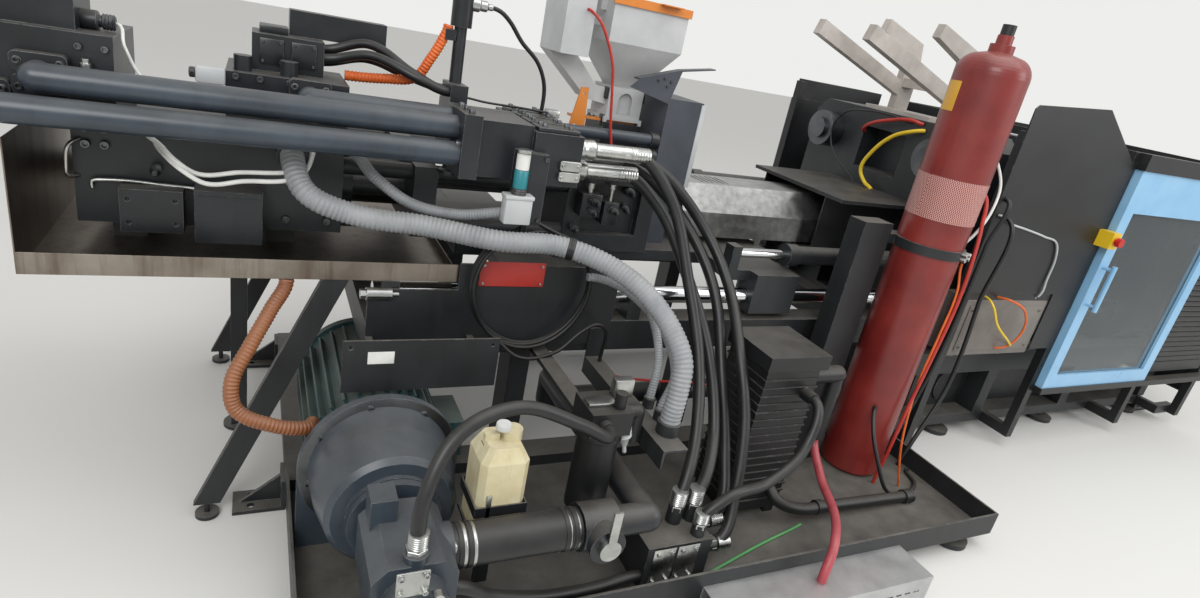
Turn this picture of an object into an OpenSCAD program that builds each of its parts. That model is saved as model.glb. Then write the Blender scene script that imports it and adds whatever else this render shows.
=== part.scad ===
// Horizontal hydraulic injection moulding machine, seen with its service side covers off.
// X runs from the injection end to the clamping end, Y from the service side to the
// operator side, Z up from the floor. The origin is the middle of the footprint.

/* [Machine] */
// Overall length
total_l = 5600; // [5560:10:5700]
// Overall depth, from the floor duct to the operator panel
total_w = 2200; // [2160:10:2260]
// Height of the screw axis above the floor
axis_z = 960; // [950:5:980]
// Offset of the screw axis towards the operator side
axis_y = 250; // [240:5:260]

/* [Base] */
// Height of the levelling feet
foot_h = 60; // [50:5:80]
// Diameter of a levelling pad
foot_d = 140; // [100:10:160]
// Height of the lower frame beams
sill_h = 50; // [40:5:60]
// Width of every main frame beam
beam_w = 100; // [80:5:120]
// Height of the upper frame beams
beam_h = 110; // [90:5:130]
// Height of the injection bed above the floor
bed_z = 640; // [620:5:650]
// Height of the clamping bed above the floor
clamp_bed_z = 460; // [440:5:465]
// Distance between the two frame sides, centre to centre
bed_gauge = 920; // [900:5:960]
// Thickness of the oil pan floor
pan_t = 8; // [4:1:12]
// Height of the oil pan lip
pan_lip = 90; // [60:5:120]
// Thickness of a floor anchor plate
anchor_t = 12; // [8:1:16]
// Diameter of a floor anchor bolt hole
anchor_d = 22; // [16:1:26]

/* [Floor duct] */
// Length of the aluminium duct
duct_l = 820; // [600:10:1000]
// Width of the duct
duct_w = 150; // [140:5:160]
// Height of the duct
duct_h = 100; // [80:5:120]
// Sheet thickness of the duct
duct_t = 3; // [2:0.5:5]
// Pitch of the slots in the duct flange
duct_pitch = 40; // [30:5:60]

/* [Clamp] */
// Injection side face of the fixed platen
platen_x = 420; // [410:5:440]
// Thickness of the fixed platen
platen_t = 280; // [260:10:300]
// Width and height of a platen
platen_s = 960; // [940:10:980]
// Injection side face of the moving platen, mould open as shown
moving_x = 1160; // [1120:10:1200]
// Thickness of the moving platen
moving_t = 240; // [220:10:260]
// Mould side face of the cylinder platen
end_x = 2180; // [2160:10:2200]
// Thickness of the cylinder platen
end_t = 240; // [220:10:260]
// Tie bar diameter
tie_d = 100; // [90:2:110]
// Half the distance between tie bars
tie_half = 340; // [330:5:345]
// Clamp ram diameter
ram_d = 240; // [220:5:250]
// Diameter of the locating bore in the fixed platen
locating_d = 125; // [100:5:140]
// Pitch of the clamping slots in the moving platen
slot_pitch = 140; // [120:10:160]
// Diameter of an ejector push rod
ejector_d = 24; // [20:1:30]

/* [Injection unit] */
// Guide rail diameter
rail_d = 60; // [50:2:64]
// Height of the guide rail axis
rail_z = 720; // [715:1:730]
// Width of the bore in the barrel, which the screw fills
screw_d = 60; // [50:1:70]
// Barrel diameter
barrel_d = 150; // [130:5:160]
// Heater band thickness
band_t = 12; // [8:1:13]
// Number of heater bands
band_n = 5; // [3:1:6]
// Injection piston diameter
piston_d = 120; // [100:5:130]
// Diameter of the rigid oil tubes
tube_d = 66; // [50:2:70]
// Diameter of a pull in cylinder rod
pull_rod_d = 36; // [28:2:40]
// Diameter of a pull in cylinder tube
pull_tube_d = 70; // [60:2:74]
// Sheet thickness of the drip tray
tray_t = 3; // [2:0.5:5]
// Height of the drip tray floor
tray_z = 770; // [765:5:780]
// Height of the drip tray lip
tray_lip = 55; // [40:5:60]

/* [Hopper] */
// Width of the hopper at its top
hopper_w = 290; // [260:10:320]
// Height of the straight upper part
hopper_h = 144; // [120:4:180]
// Height of the tapering part
hopper_cone_h = 150; // [130:5:170]
// Sheet thickness of the hopper
hopper_t = 4; // [3:0.5:6]
// Inner width of the hopper's neck
throat_w = 90; // [80:2:110]
// Thickness of the slide gate
gate_t = 8; // [6:1:10]

/* [Hydraulic pack] */
// Motor diameter over its fins
motor_d = 390; // [360:10:400]
// Motor shaft diameter
shaft_d = 60; // [50:2:64]
// Bell housing diameter at the motor
bell_d = 380; // [360:10:390]
// Bell housing diameter at the pump
bell_front_d = 330; // [300:10:340]
// Pump body width
pump_w = 190; // [170:5:200]
// Outside diameter of the suction hose
suction_d = 108; // [100:2:114]
// Filter bowl diameter
bowl_d = 118; // [100:2:124]
// Oil cooler width
cooler_w = 220; // [200:10:230]
// Oil cooler height
cooler_h = 560; // [500:10:570]
// Accumulator bottle diameter
bottle_d = 240; // [220:5:250]
// Height of the accumulator bottle without its valve
bottle_h = 1640; // [1500:10:1680]
// Width of the oil can
can_w = 130; // [110:5:140]
// Height of the oil can
can_h = 260; // [220:10:280]

/* [Guards] */
// Width of the sliding door
door_w = 900; // [860:10:920]
// Height of the sliding door
door_h = 1065; // [1040:5:1080]
// Height of the door's lower edge
door_z = 355; // [345:5:365]
// Width of a door stile
stile_w = 70; // [50:5:90]
// Height of the door header
header_h = 185; // [150:5:200]
// Sheet thickness of the fixed covers
cover_t = 6; // [3:1:8]
// Width of a guard post
post_w = 40; // [30:5:50]
// Emergency stop button diameter
estop_d = 40; // [32:1:50]
// Thickness of a window pane
pane_t = 8; // [5:1:10]

/* [Hoses] */
// Diameter of a pressure hose
hose_d = 38; // [30:2:44]
// Diameter of the large corrugated conduit
conduit_d = 62; // [50:2:70]
// Diameter of the small corrugated conduits
branch_d = 34; // [26:2:40]
// Diameter of the pump and cooler hoses
pack_hose_d = 34; // [28:2:38]
// Diameter of the water hose
water_d = 30; // [22:2:34]
// Diameter of a hose over the manifold
manifold_hose_d = 26; // [20:2:32]
// Diameter of a bundle of wires
cable_d = 18; // [12:1:24]
// Diameter of the cable coil's bundle
coil_d = 24; // [16:2:30]

/* [Hidden] */
$fn = 48;
// Radial play of a running fit
fit = 0.05;
// Clearance between pieces that only lie beside each other
gap = 0.3;
// Overshoot of a cut
cut = 1;

x_left = -total_l / 2;
x_right = total_l / 2;
y_near = -total_w / 2;
y_far = total_w / 2;

// Frame stations
base_x0 = -2100;
base_x1 = x_right - 160;
sill_z = foot_h + sill_h;
near_y = axis_y - bed_gauge / 2;
far_y = axis_y + bed_gauge / 2;
bed_x0 = -1900;
bed_step_x = 330;
beam_lo = bed_z - beam_h;
clamp_beam_lo = clamp_bed_z - beam_h;
post_xs = [-1440, -760, -300];
clamp_post_xs = [300, 1080, 1800, base_x1 - 40];
foot_xs = [-1960, -1000, 0, 900, 1760, base_x1 - 40];
pan_y0 = y_near + duct_w;
pan_x1 = 330;

// Rails and pedestals
rail_x0 = -1880;
rail_x1 = 320;
rail_block_xs = [-1860, -1035, -35, 275];
rail_block_l = 50;

// Injection unit stations
carriage_z = 780;
carriage_t = 40;
block_xs = [-1400, -420];
block_l = 200;
housing_x0 = -1240;
housing_x1 = -897;
housing_top = 1120;
barrel_x1 = 180;
nozzle_x1 = 330;
cross_x0 = -1760;
cross_t = 70;
cyl_block_x0 = -2600;
cyl_block_x1 = -1960;
piston_half = 150;
column_d = 50;
column_dy = 270;
column_dz = 80;
manifold_x0 = -2260;
manifold_x1 = -1960;
manifold_z0 = 1120;
manifold_z1 = 1277;
rear_l = 316;
rear_x1 = x_left + rear_l;
rear_z1 = 1325;
hopper_x = -975;
gate_z = 1240;
throat_top = gate_z + gate_t + 2 * gap;
neck_w = 140;
neck_top = throat_top + 118;
hopper_crease = neck_top + hopper_cone_h;
hopper_top = hopper_crease + hopper_h;
loader_x0 = -1290;
loader_x1 = -1187;
loader_z0 = 1452;
loader_top = 1700;

// Hydraulic pack stations
motor_x = -1870;
motor_z = 320;
plate_y = -510;
plate_t = 22;
bell_front_y = -720;
pump_y0 = -1060;
pump_y1 = -740;
suction_y = -880;
suction_z = 335;
filter_x = -1325;
filter_y = -720;
filter_z = 260;
can_x = -1620;
can_y = -750;
can_z = 296;
cooler_x = -720;
cooler_y = -660;
bottle_x = 65;
bottle_y = -450;

// Smaller stations
post_l = 70;
pedestal_w = 90;
pedestal_top = 765;
tray_x0 = -2690;
tray_x1 = -1642;
anchor_l = 145;
anchor_w = 100;
duct_x1 = -180;
duct_hole = [-600, -1020];
boss_x1 = 2660;
ram_x1 = 2380;
ejector_half = 125;
ejector_stroke = 100;

valve_x0 = -1425;
filter_top = 612;
hose_block_z = 220;
elbow_x = -350;
water_z = 330;
estop_x = 1165;
estop_z = 1112;

feed_d = 80;
lid_pin_d = 8;
lid_pin_x = hopper_w / 2 + 13;
drive_x0 = -1900;
piston_x0 = -2500;
piston_ys = [axis_y - piston_half, axis_y + piston_half];
near_pull_y = -180;
near_pull_z = 880;
far_pull_y = 580;
far_pull_z = 985;
pull_piston_d = 54;
clamp_x0 = -1690;
hose_head_x0 = -1480;
hose_head_x1 = -1330;

// Hose routes, hand picked
// Each route: heading at its start, heading at its end, points
pressure_routes = [
    [[1, 0, 0], [-1, 0, 0], [[-1130, -150, 1190], [-980, -165, 1150], [-820, -230, 1010],
        [-745, -370, 840], [-770, -570, 650], [-775, -680, 470], [-820, -780, 260],
        [-860, -825, 165], [-900, -830, 140]]],
    [[1, 0, 0], [0, 0, -1], [[-1150, -230, 1140], [-1020, -260, 1060], [-920, -380, 860],
        [-860, -520, 640], [-870, -660, 430], [-940, -760, 340], [-985, -790, 280]]],
    [[1, 0, 0], [-1, 0, 0], [[-1120, -80, 1160], [-980, -120, 1110], [-840, -230, 960],
        [-780, -360, 800], [-790, -530, 560], [-800, -660, 340], [-840, -750, 210],
        [-900, -770, 180]]],
    [[1, 0, 0], [0, 0, -1], [[-1140, -270, 1210], [-1020, -320, 1110], [-950, -440, 860],
        [-930, -570, 640], [-970, -700, 450], [-1020, -770, 350], [-1045, -790, 280]]]];
hose_starts = [for (r = pressure_routes) r[2][0]];
conduit_route = [[0, -1, 0], [0, 0, -1], [[-2100, -130, 1080], [-2070, -230, 1010],
    [-1960, -250, 965], [-1760, -280, 950], [-1560, -370, 945], [-1400, -385, 945],
    [-1280, -450, 925], [-1185, -550, 880], [-1125, -650, 805], [-1100, -715, 725],
    [-1108, -740, 640], [-1115, -745, 550]]];
thin_routes = [
    [[1, 0, 0], [0, 0, -1], [[-1270, -340, 880], [-1180, -390, 870], [-1110, -500, 790],
        [-1085, -575, 660], [-1105, -605, 545]]],
    [[1, 0, 0], [0, 0, -1], [[-1250, -325, 825], [-1160, -370, 815], [-1070, -530, 740],
        [-1060, -640, 640], [-1105, -675, 545]]]];
branch_route = [[1, 0, 0], [1, 0, 0], [[-1960, -40, 1092], [-1880, -150, 1040],
    [-1790, -200, 990], [-1660, -250, 980], [-1530, -300, 1010]]];
manifold_routes = [
    [[1, 0, 0], [1, 0, 0], [[-2020, 20, 1330], [-1900, -20, 1360], [-1780, -90, 1325],
        [-1690, -100, 1300]]],
    [[1, 0, 0], [1, 0, 0], [[-2020, 70, 1350], [-1900, 40, 1385], [-1780, -50, 1330],
        [-1690, -65, 1300]]],
    [[1, 0, 0], [1, 0, 0], [[-2020, 120, 1310], [-1900, 90, 1340], [-1780, -5, 1315],
        [-1690, -30, 1300]]]];
pack_routes = [
    [[0, 0, 1], [0, 1, 0], [[-1870, -985, 433], [-1860, -970, 570], [-1790, -920, 680],
        [-1640, -870, 710], [-1460, -860, 640], [-1365, -845, 585], [-1345, -802, 576]]],
    [[1, 0, 0], [1, 0, 0], [[-1775, -955, 280], [-1650, -930, 200], [-1480, -900, 130],
        [-1310, -880, 105], [-1180, -870, 110]]],
    [[0, -1, 0], [0, 0, -1], [[-540, -710, 560], [-600, -790, 430], [-750, -830, 350],
        [-920, -860, 340], [-1000, -860, 260]]]];
water_route = [[0, 0, -1], [0, 0, -1], [[-350, -600, 330], [-380, -700, 240],
    [-470, -890, 215], [-560, -990, 190], [-600, -1020, 130], [-600, -1020, 97]]];
coil_c = [-1420, -300, 773];
coil_r = 190;
coil_peg_z = coil_c[2] + sqrt(pow(coil_r - coil_d / 2, 2) - pow(-1485 - coil_c[0], 2)) - 8 - 3 * gap;
cable_routes = [
    [[0, -1, 0], [0, 0, -1], [[430, -426, 1230], [400, -446, 1050], [380, -446, 560],
        [310, -440, 150], [300, -440, 68]]],
    [[0, -1, 0], [0, 0, -1], [[460, -426, 1160], [450, -476, 800], [430, -500, 430],
        [310, -520, 150], [290, -520, 68]]]];

// Guards
guard_y = axis_y - 670;
guard_far_y = axis_y + 700;
cover_x0 = platen_x - 20;
cover_x1 = 1160;
door_x0 = 1200;
door_t = 36;

// Box between two opposite corners
module slab(lo, hi) {
    translate(lo) cube(hi - lo);
}

// Round bar along X, Y or Z
module bar_x(x0, x1, y, z, d) {
    translate([x0, y, z]) rotate([0, 90, 0]) cylinder(d = d, h = x1 - x0);
}

module bar_y(y0, y1, x, z, d) {
    translate([x, y0, z]) rotate([-90, 0, 0]) cylinder(d = d, h = y1 - y0);
}

module bar_z(z0, z1, x, y, d) {
    translate([x, y, z0]) cylinder(d = d, h = z1 - z0);
}

// Plate with an outline in the XZ plane
module plate_xz(y0, y1) {
    translate([0, y1, 0]) rotate([90, 0, 0]) linear_extrude(y1 - y0) children();
}

// Plate with an outline in the YZ plane
module plate_yz(x0, x1) {
    translate([x0, 0, 0]) rotate([90, 0, 90]) linear_extrude(x1 - x0) children();
}

// Square with cut corners, about its centre
module cut_square(w, h, c) {
    polygon([
        [-w / 2 + c, -h / 2], [w / 2 - c, -h / 2], [w / 2, -h / 2 + c], [w / 2, h / 2 - c],
        [w / 2 - c, h / 2], [-w / 2 + c, h / 2], [-w / 2, h / 2 - c], [-w / 2, -h / 2 + c]]);
}

// Both sides of the machine, about the screw axis
module both_sides() {
    children();
    translate([0, 2 * axis_y, 0]) mirror([0, 1, 0]) children();
}

module at_corners(dy, dz) {
    for (sy = [-1, 1], sz = [-1, 1]) translate([0, axis_y + sy * dy, axis_z + sz * dz]) children();
}

function unit(v) = v / norm(v);
function end_of(r) = r[2][len(r[2]) - 1];
function heading(r, i) =
    let (p = r[2], n = len(p) - 1)
    i == 0 ? r[0] : i == n ? r[1] : unit(unit(p[i + 1] - p[i]) + unit(p[i] - p[i - 1]));
function ring(c, t, d, sides) =
    let (u = unit(cross(t, [0, 1, -1])), v = cross(t, u))
    [for (k = [0:sides - 1]) c + d / 2 * (cos(360 * k / sides) * u + sin(360 * k / sides) * v)];

// Tube swept along a route, which never runs along [0, 1, -1]
module hose(r, d, sides = 8) {
    p = r[2];
    n = len(p);
    polyhedron(
        points = [for (i = [0:n - 1]) each ring(p[i], heading(r, i), d, sides)],
        faces = concat(
            [[for (k = [0:sides - 1]) k]],
            [for (i = [0:n - 2], k = [0:sides - 1]) let (a = i * sides, b = (k + 1) % sides)
                [a + sides + k, a + b, a + k]],
            [for (i = [0:n - 2], k = [0:sides - 1]) let (a = i * sides, b = (k + 1) % sides)
                [a + sides + k, a + sides + b, a + b]],
            [[for (k = [0:sides - 1]) n * sides - 1 - k]]));
}

// Frame, bed and floor pieces

module base_frame() color("#2a2c2e") {
    inner0 = near_y + beam_w / 2;
    inner1 = far_y - beam_w / 2;
    both_sides() slab([base_x0, near_y - beam_w / 2, foot_h], [base_x1, inner0, sill_z]);
    for (x = [base_x0, (base_x0 + base_x1) / 2, base_x1 - beam_w])
        slab([x, inner0, foot_h], [x + beam_w, inner1, sill_z]);
    oil_pan();
    oil_tank(inner0, inner1);
}

module oil_pan() {
    y1 = near_y - beam_w / 2;
    lip_z = foot_h + pan_lip;
    slab([base_x0, pan_y0, foot_h], [pan_x1, y1, foot_h + pan_t]);
    slab([base_x0, pan_y0, foot_h], [pan_x1, pan_y0 + pan_t, lip_z]);
    for (x = [base_x0, pan_x1 - pan_t]) slab([x, pan_y0, foot_h], [x + pan_t, y1, lip_z]);
}

module oil_tank(y0, y1) {
    tank_x0 = 700;
    tank_x1 = 2500;
    tank_top = clamp_beam_lo - 10;
    cover_d = 180;
    difference() {
        slab([tank_x0, y0, foot_h], [tank_x1, y1, tank_top]);
        slab([tank_x0 + pan_t, y0 + pan_t, foot_h + pan_t], [tank_x1 - pan_t, y1 - pan_t, tank_top - pan_t]);
    }
    for (x = [tank_x0 + 240, tank_x0 + 1300])
        bar_y(y0 - 12, y0 + cut, x, (sill_z + tank_top) / 2, cover_d);
}

// One side beam, its step down to the clamping bed, its posts and rail pedestals
module bed() color("#232527") {
    both_sides() bed_side();
    inner0 = near_y + beam_w / 2;
    inner1 = far_y - beam_w / 2;
    for (x = [bed_x0, -1000, 60]) slab([x, inner0, beam_lo], [x + beam_w, inner1, bed_z]);
    for (x = [1080, 1800, base_x1 - beam_w])
        slab([x, inner0, clamp_beam_lo], [x + beam_w, inner1, clamp_bed_z]);
    rail_shield();
}

module bed_side() {
    y0 = near_y - beam_w / 2;
    y1 = near_y + beam_w / 2;
    difference() {
        union() {
            plate_xz(y0, y1) polygon([
                [bed_x0, beam_lo], [bed_x0, bed_z], [bed_step_x, bed_z],
                [bed_step_x, clamp_bed_z], [base_x1, clamp_bed_z],
                [base_x1, clamp_beam_lo], [bed_step_x - beam_w, clamp_beam_lo],
                [bed_step_x - beam_w, beam_lo]]);
            for (x = post_xs) slab([x, y0, sill_z], [x + post_l, y1, beam_lo + cut]);
            for (x = clamp_post_xs) slab([x, y0, sill_z], [x + post_l, y1, clamp_beam_lo + cut]);
            for (x = rail_block_xs) rail_pedestal(x, x == rail_block_xs[0] ? tray_z : pedestal_top);
        }
        bar_x(rail_x0, rail_x1, near_y, rail_z, rail_d + 2 * fit);
    }
}

module rail_pedestal(x, top) {
    slab([x, near_y - pedestal_w / 2, bed_z - cut], [x + rail_block_l, near_y + pedestal_w / 2, top]);
}

// Raised side plate that hides the rear half of the near rail
module rail_shield() {
    shield_t = 8;
    low_z = 750;
    high_z = 835;
    shield_x1 = -1100;
    y1 = near_y - beam_w / 2;
    plate_xz(y1 - shield_t, y1) polygon([
        [bed_x0, beam_lo + 30], [bed_x0, low_z], [tray_x1, low_z], [tray_x1, high_z],
        [shield_x1, high_z], [shield_x1, beam_lo + 30]]);
}

module floor_fixings() color("#3a3c3e") {
    both_sides() for (x = foot_xs) levelling_foot(x, near_y);
    for (x = [foot_xs[0], foot_xs[1], 200]) levelling_foot(x, pan_y0 + foot_d / 2);
    both_sides() {
        floor_anchor(base_x0, -1);
        floor_anchor(base_x1, 1);
    }
}

module levelling_foot(x, y) {
    stud_d = 30;
    pad_h = 20;
    bar_z(0, pad_h, x, y, foot_d);
    bar_z(pad_h, foot_h, x, y, stud_d);
}

// Angle with a gusset, bolted to a frame end; side is -1 on the left and 1 on the right
module floor_anchor(x, side) {
    translate([x, near_y - beam_w / 2, 0]) scale_x(side) difference() {
        union() {
            slab([0, 0, 0], [anchor_l, anchor_w, anchor_t]);
            slab([0, 0, 0], [anchor_t, anchor_w, sill_z - 4]);
            plate_xz(anchor_w / 2 - anchor_t / 2, anchor_w / 2 + anchor_t / 2)
                polygon([[0, 0], [anchor_l - 20, anchor_t], [anchor_t, sill_z - 10]]);
        }
        for (y = [anchor_w / 4, 3 * anchor_w / 4])
            bar_z(-cut, anchor_t + cut, anchor_l - 50, y, anchor_d);
    }
}

module scale_x(side) {
    if (side > 0) children();
    else mirror([1, 0, 0]) children();
}

module floor_duct() color("#b9bbbd") {
    slot_h = 8;
    slot_l = 26;
    difference() {
        slab([duct_x1 - duct_l, y_near, 0], [duct_x1, pan_y0, duct_h]);
        slab([duct_x1 - duct_l - cut, y_near + duct_t, duct_t],
            [duct_x1 + cut, pan_y0 - duct_t, duct_h - duct_t]);
        for (x = [duct_x1 - duct_l + duct_pitch : duct_pitch : duct_x1 - duct_pitch])
            slab([x - slot_l / 2, y_near - cut, duct_h / 2 - slot_h / 2],
                [x + slot_l / 2, y_near + duct_t + cut, duct_h / 2 + slot_h / 2]);
        bar_z(duct_h - duct_t - cut, duct_h + cut, duct_hole[0], duct_hole[1], water_d + 2 * gap);
    }
}

module guide_rails() color("#d8dadc") {
    both_sides() bar_x(rail_x0, rail_x1, near_y, rail_z, rail_d);
}

module drip_tray() color("#b4b0aa") {
    y0 = near_y - 42;
    y1 = far_y + 42;
    lip = tray_z + tray_lip;
    wall_top = 1090;
    slot_l = 40;
    difference() {
        union() {
            slab([tray_x0, y0, tray_z], [tray_x1, y1, tray_z + tray_t]);
            slab([tray_x0, y0, tray_z], [tray_x1, y0 + tray_t, lip]);
            slab([tray_x0, y1 - tray_t, tray_z], [tray_x1, y1, lip]);
            slab([tray_x1 - tray_t, y0, tray_z], [tray_x1, y1, lip - 25]);
            slab([tray_x0, y0, tray_z], [tray_x0 + tray_t, y1, wall_top]);
        }
        slab([tray_x0 + 180, y0 + 90, tray_z - cut],
            [tray_x0 + 180 + slot_l, y0 + 102, tray_z + tray_t + cut]);
    }
}

module tray_legs() color("#1e1f21") {
    leg_t = 24;
    leg_w = 70;
    foot_x = -2311;
    top_x = -1985;
    post_x = -2260;
    pad_h = 12;
    stud_h = 45;
    y0 = near_y - 40;
    both_sides() {
        plate_xz(y0, y0 + leg_t) polygon([
            [foot_x - leg_w / 2, stud_h], [foot_x + leg_w / 2, stud_h],
            [top_x + leg_w / 2, tray_z], [top_x - leg_w / 2, tray_z]]);
        bar_z(0, pad_h, foot_x, y0 + leg_t / 2, 64);
        bar_z(pad_h, stud_h, foot_x, y0 + leg_t / 2, 16);
    }
    slab([post_x, axis_y - 25, pad_h], [post_x + 50, axis_y + 25, tray_z]);
    bar_z(0, pad_h, post_x + 25, axis_y, 100);
}

// Clamping unit

module platen_outline(bore) {
    translate([axis_y, axis_z]) difference() {
        cut_square(platen_s, platen_s, 60);
        for (sy = [-1, 1], sz = [-1, 1])
            translate([sy * tie_half, sz * tie_half]) circle(d = tie_d + 2 * fit);
        circle(d = bore);
    }
}

// Feet that carry a platen on the bed, lifted by play where the platen slides
module platen_feet(x0, x1, play) {
    y0 = axis_y - platen_s / 2 + 60;
    top = axis_z - platen_s / 2;
    both_sides() slab([x0, y0, clamp_bed_z + play], [x1, near_y + beam_w / 2, top]);
}

module fixed_platen() color("#26282b") {
    recess_d = 260;
    recess_l = 140;
    pocket_l = 110;
    locating_l = 20;
    nozzle_hole_d = 100;
    x1 = platen_x + platen_t;
    difference() {
        plate_yz(platen_x, x1) platen_outline(nozzle_hole_d);
        bar_x(platen_x - cut, platen_x + recess_l, axis_y, axis_z, recess_d);
        bar_x(x1 - locating_l, x1 + cut, axis_y, axis_z, locating_d);
        for (a = [0, 180]) translate([platen_x, axis_y, axis_z]) rotate([a, 0, 0])
            slab([-cut, -130, 210], [pocket_l, 130, 400]);
    }
    platen_feet(platen_x, x1, 0);
}

module tie_bars() color("#c9cbcd") {
    nut_d = tie_d * 1.7;
    nut_l = 80;
    x1 = end_x + end_t;
    at_corners(tie_half, tie_half) rotate([0, 90, 0]) {
        translate([0, 0, platen_x - nut_l - 20])
            cylinder(d = tie_d, h = x1 - platen_x + 2 * nut_l + 40);
        for (x = [platen_x - nut_l, x1]) translate([0, 0, x]) cylinder(d = nut_d, h = nut_l);
    }
}

module cylinder_platen() color("#26282b") {
    boss_d = 420;
    x1 = end_x + end_t;
    difference() {
        union() {
            plate_yz(end_x, x1) platen_outline(ram_d + 2 * fit);
            bar_x(x1, boss_x1, axis_y, axis_z, boss_d);
        }
        bar_x(end_x - cut, boss_x1 - 20, axis_y, axis_z, ram_d + 2 * fit);
    }
    platen_feet(end_x, x1, 0);
}

module moving_platen() color("#2c2e31") {
    slot_w = 24;
    slot_l = 40;
    rod_at = ejector_half;
    difference() {
        plate_yz(moving_x, moving_x + moving_t) platen_outline(30);
        for (k = [-2:2]) if (k != 0)
            slab([moving_x - cut, axis_y + k * slot_pitch - slot_w / 2, axis_z - platen_s / 2 + 70],
                [moving_x + slot_l, axis_y + k * slot_pitch + slot_w / 2, axis_z + platen_s / 2 - 70]);
        at_corners(rod_at, rod_at) rotate([0, 90, 0]) translate([0, 0, moving_x - cut])
            cylinder(d = ejector_d + 2 * fit, h = moving_t + 2 * cut);
    }
    platen_feet(moving_x, moving_x + moving_t, gap);
}

module clamp_ram() color("#d2d4d6") {
    bar_x(moving_x + moving_t, ram_x1, axis_y, axis_z, ram_d);
}

module ejector_plate() color("#6b6e72") {
    plate_x = moving_x + moving_t + ejector_stroke + 20;
    plate_l = 30;
    difference() {
        slab([plate_x, axis_y - 190, axis_z - 190], [plate_x + plate_l, axis_y + 190, axis_z + 190]);
        bar_x(plate_x - cut, plate_x + plate_l + cut, axis_y, axis_z, ram_d + 8);
    }
    at_corners(ejector_half, ejector_half) rotate([0, 90, 0]) translate([0, 0, moving_x + 10])
        cylinder(d = ejector_d, h = plate_x - moving_x - 10);
}

module robot_mount() color("#c4c6c8") {
    top = axis_z + platen_s / 2;
    slab([platen_x + 20, axis_y - 190, top], [platen_x + platen_t - 20, axis_y + 190, top + 18]);
    for (y = [axis_y - 170, axis_y + 130]) plate_xz(y, y + 40) polygon([
        [560, top + 18], [650, top + 18], [650, 1640], [620, 1760], [380, 1830], [365, 1775],
        [560, 1700], [560, 1585], [10, 1765], [-10, 1705], [560, 1520]]);
    slab([570, axis_y - 130, 1560], [640, axis_y + 130, 1600]);
}

module purge_guard() color("#202224") {
    x0 = -20;
    t = cover_t;
    half = 210;
    z0 = axis_z - 135;
    z1 = axis_z + 120;
    difference() {
        slab([x0, axis_y - half, z0], [platen_x, axis_y + half, z1]);
        slab([x0 - cut, axis_y - half + t, z0 + t], [platen_x + cut, axis_y + half - t, z1 - t]);
    }
    slab([x0 - 40, axis_y - half - 140, z1], [platen_x, axis_y + half + 40, z1 + 15]);
}

// Guards

guard_x1 = x_right - 60;
louvre_x0 = 2140;
guard_posts = [platen_x, cover_x1, louvre_x0 - post_w, guard_x1];
guard_base_z = foot_h;
guard_top = 1490;
guide_z = door_z + door_h + gap;

module guard_frame() color("#1f2022") {
    guard_side();
    translate([0, guard_y + guard_far_y, 0]) mirror([0, 1, 0]) guard_side();
    for (x = [cover_x1, guard_x1])
        slab([x, guard_y + post_w, guard_top - post_w], [x + post_w, guard_far_y - post_w, guard_top]);
}

// Posts, arms to the lower frame and the two guides that the door runs in
module guard_side() {
    y1 = guard_y + post_w;
    guide_x1 = guard_x1 + post_w;
    for (x = guard_posts) {
        slab([x, guard_y, guard_base_z], [x + post_w, y1, guard_top]);
        if (x < base_x1) slab([x, y1, foot_h], [x + post_w, near_y - beam_w / 2, sill_z]);
    }
    slab([base_x1 - post_w, y1, foot_h], [guide_x1, y1 + post_w, sill_z]);
    slab([base_x1 - post_w, y1 + post_w, foot_h], [base_x1, near_y - beam_w / 2, sill_z]);
    slab([cover_x1 + post_w, guard_y, guard_top - post_w], [guide_x1, y1, guard_top]);
    slab([platen_x, guard_y, 800], [cover_x1, y1, 840]);
    guide_x0 = cover_x1 + post_w - 8;
    door_guide(guide_z, guard_top - guide_z, guide_x0, guide_x1);
    door_guide(door_z - gap - 30, 30, guide_x0, guide_x1);
}

module door_guide(z, h, x0, x1) {
    slab([x0, guard_y - door_t - 8, z], [x1, guard_y + cut, z + h]);
}

module guard_covers() color("#1b1c1e") {
    y0 = guard_y - cover_t;
    plate_xz(y0, guard_y) polygon([
        [cover_x0, 834], [cover_x0, 1575], [418, 1590], [853, 1627], [1145, 1445],
        [cover_x1 + post_w - 10, 1445], [cover_x1 + post_w - 10, 560], [1010, 560], [1010, 834]]);
    slab([platen_x + post_w, guard_y, 540], [1000, guard_y + 120, 800]);
    louvre_sheet();
    end_cover();
    far_cover();
}

// Sheet beyond the door, with pressed louvres
module louvre_sheet() {
    x0 = louvre_x0;
    x1 = guard_x1;
    y0 = guard_y + 4;
    pitch = 30;
    difference() {
        slab([x0, y0, 380], [x1, y0 + cover_t, 1400]);
        for (z = [440:pitch:1340]) slab([x0 + 60, y0 - cut, z], [x1 - 60, y0 + cover_t + cut, z + 6]);
    }
    for (z = [440:pitch:1340]) translate([x0 + 60, 0, z]) rotate([90, 0, 90]) linear_extrude(x1 - x0 - 120)
        polygon([[y0, 6], [y0, 14], [y0 - 3.5, 6]]);
}

module end_cover() {
    x0 = guard_x1 + post_w;
    difference() {
        slab([x0, guard_y + post_w, 200], [x_right, guard_far_y - post_w, 1440]);
        slab([x0 - cut, guard_y + post_w + cover_t, 200 + cover_t],
            [x_right - cover_t, guard_far_y - post_w - cover_t, 1440 - cover_t]);
    }
}

module far_cover() {
    slab([platen_x, guard_far_y, 380], [cover_x1, guard_far_y + cover_t, 1400]);
    slab([louvre_x0, guard_far_y - cover_t, 380], [guard_x1, guard_far_y, 1400]);
}

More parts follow.
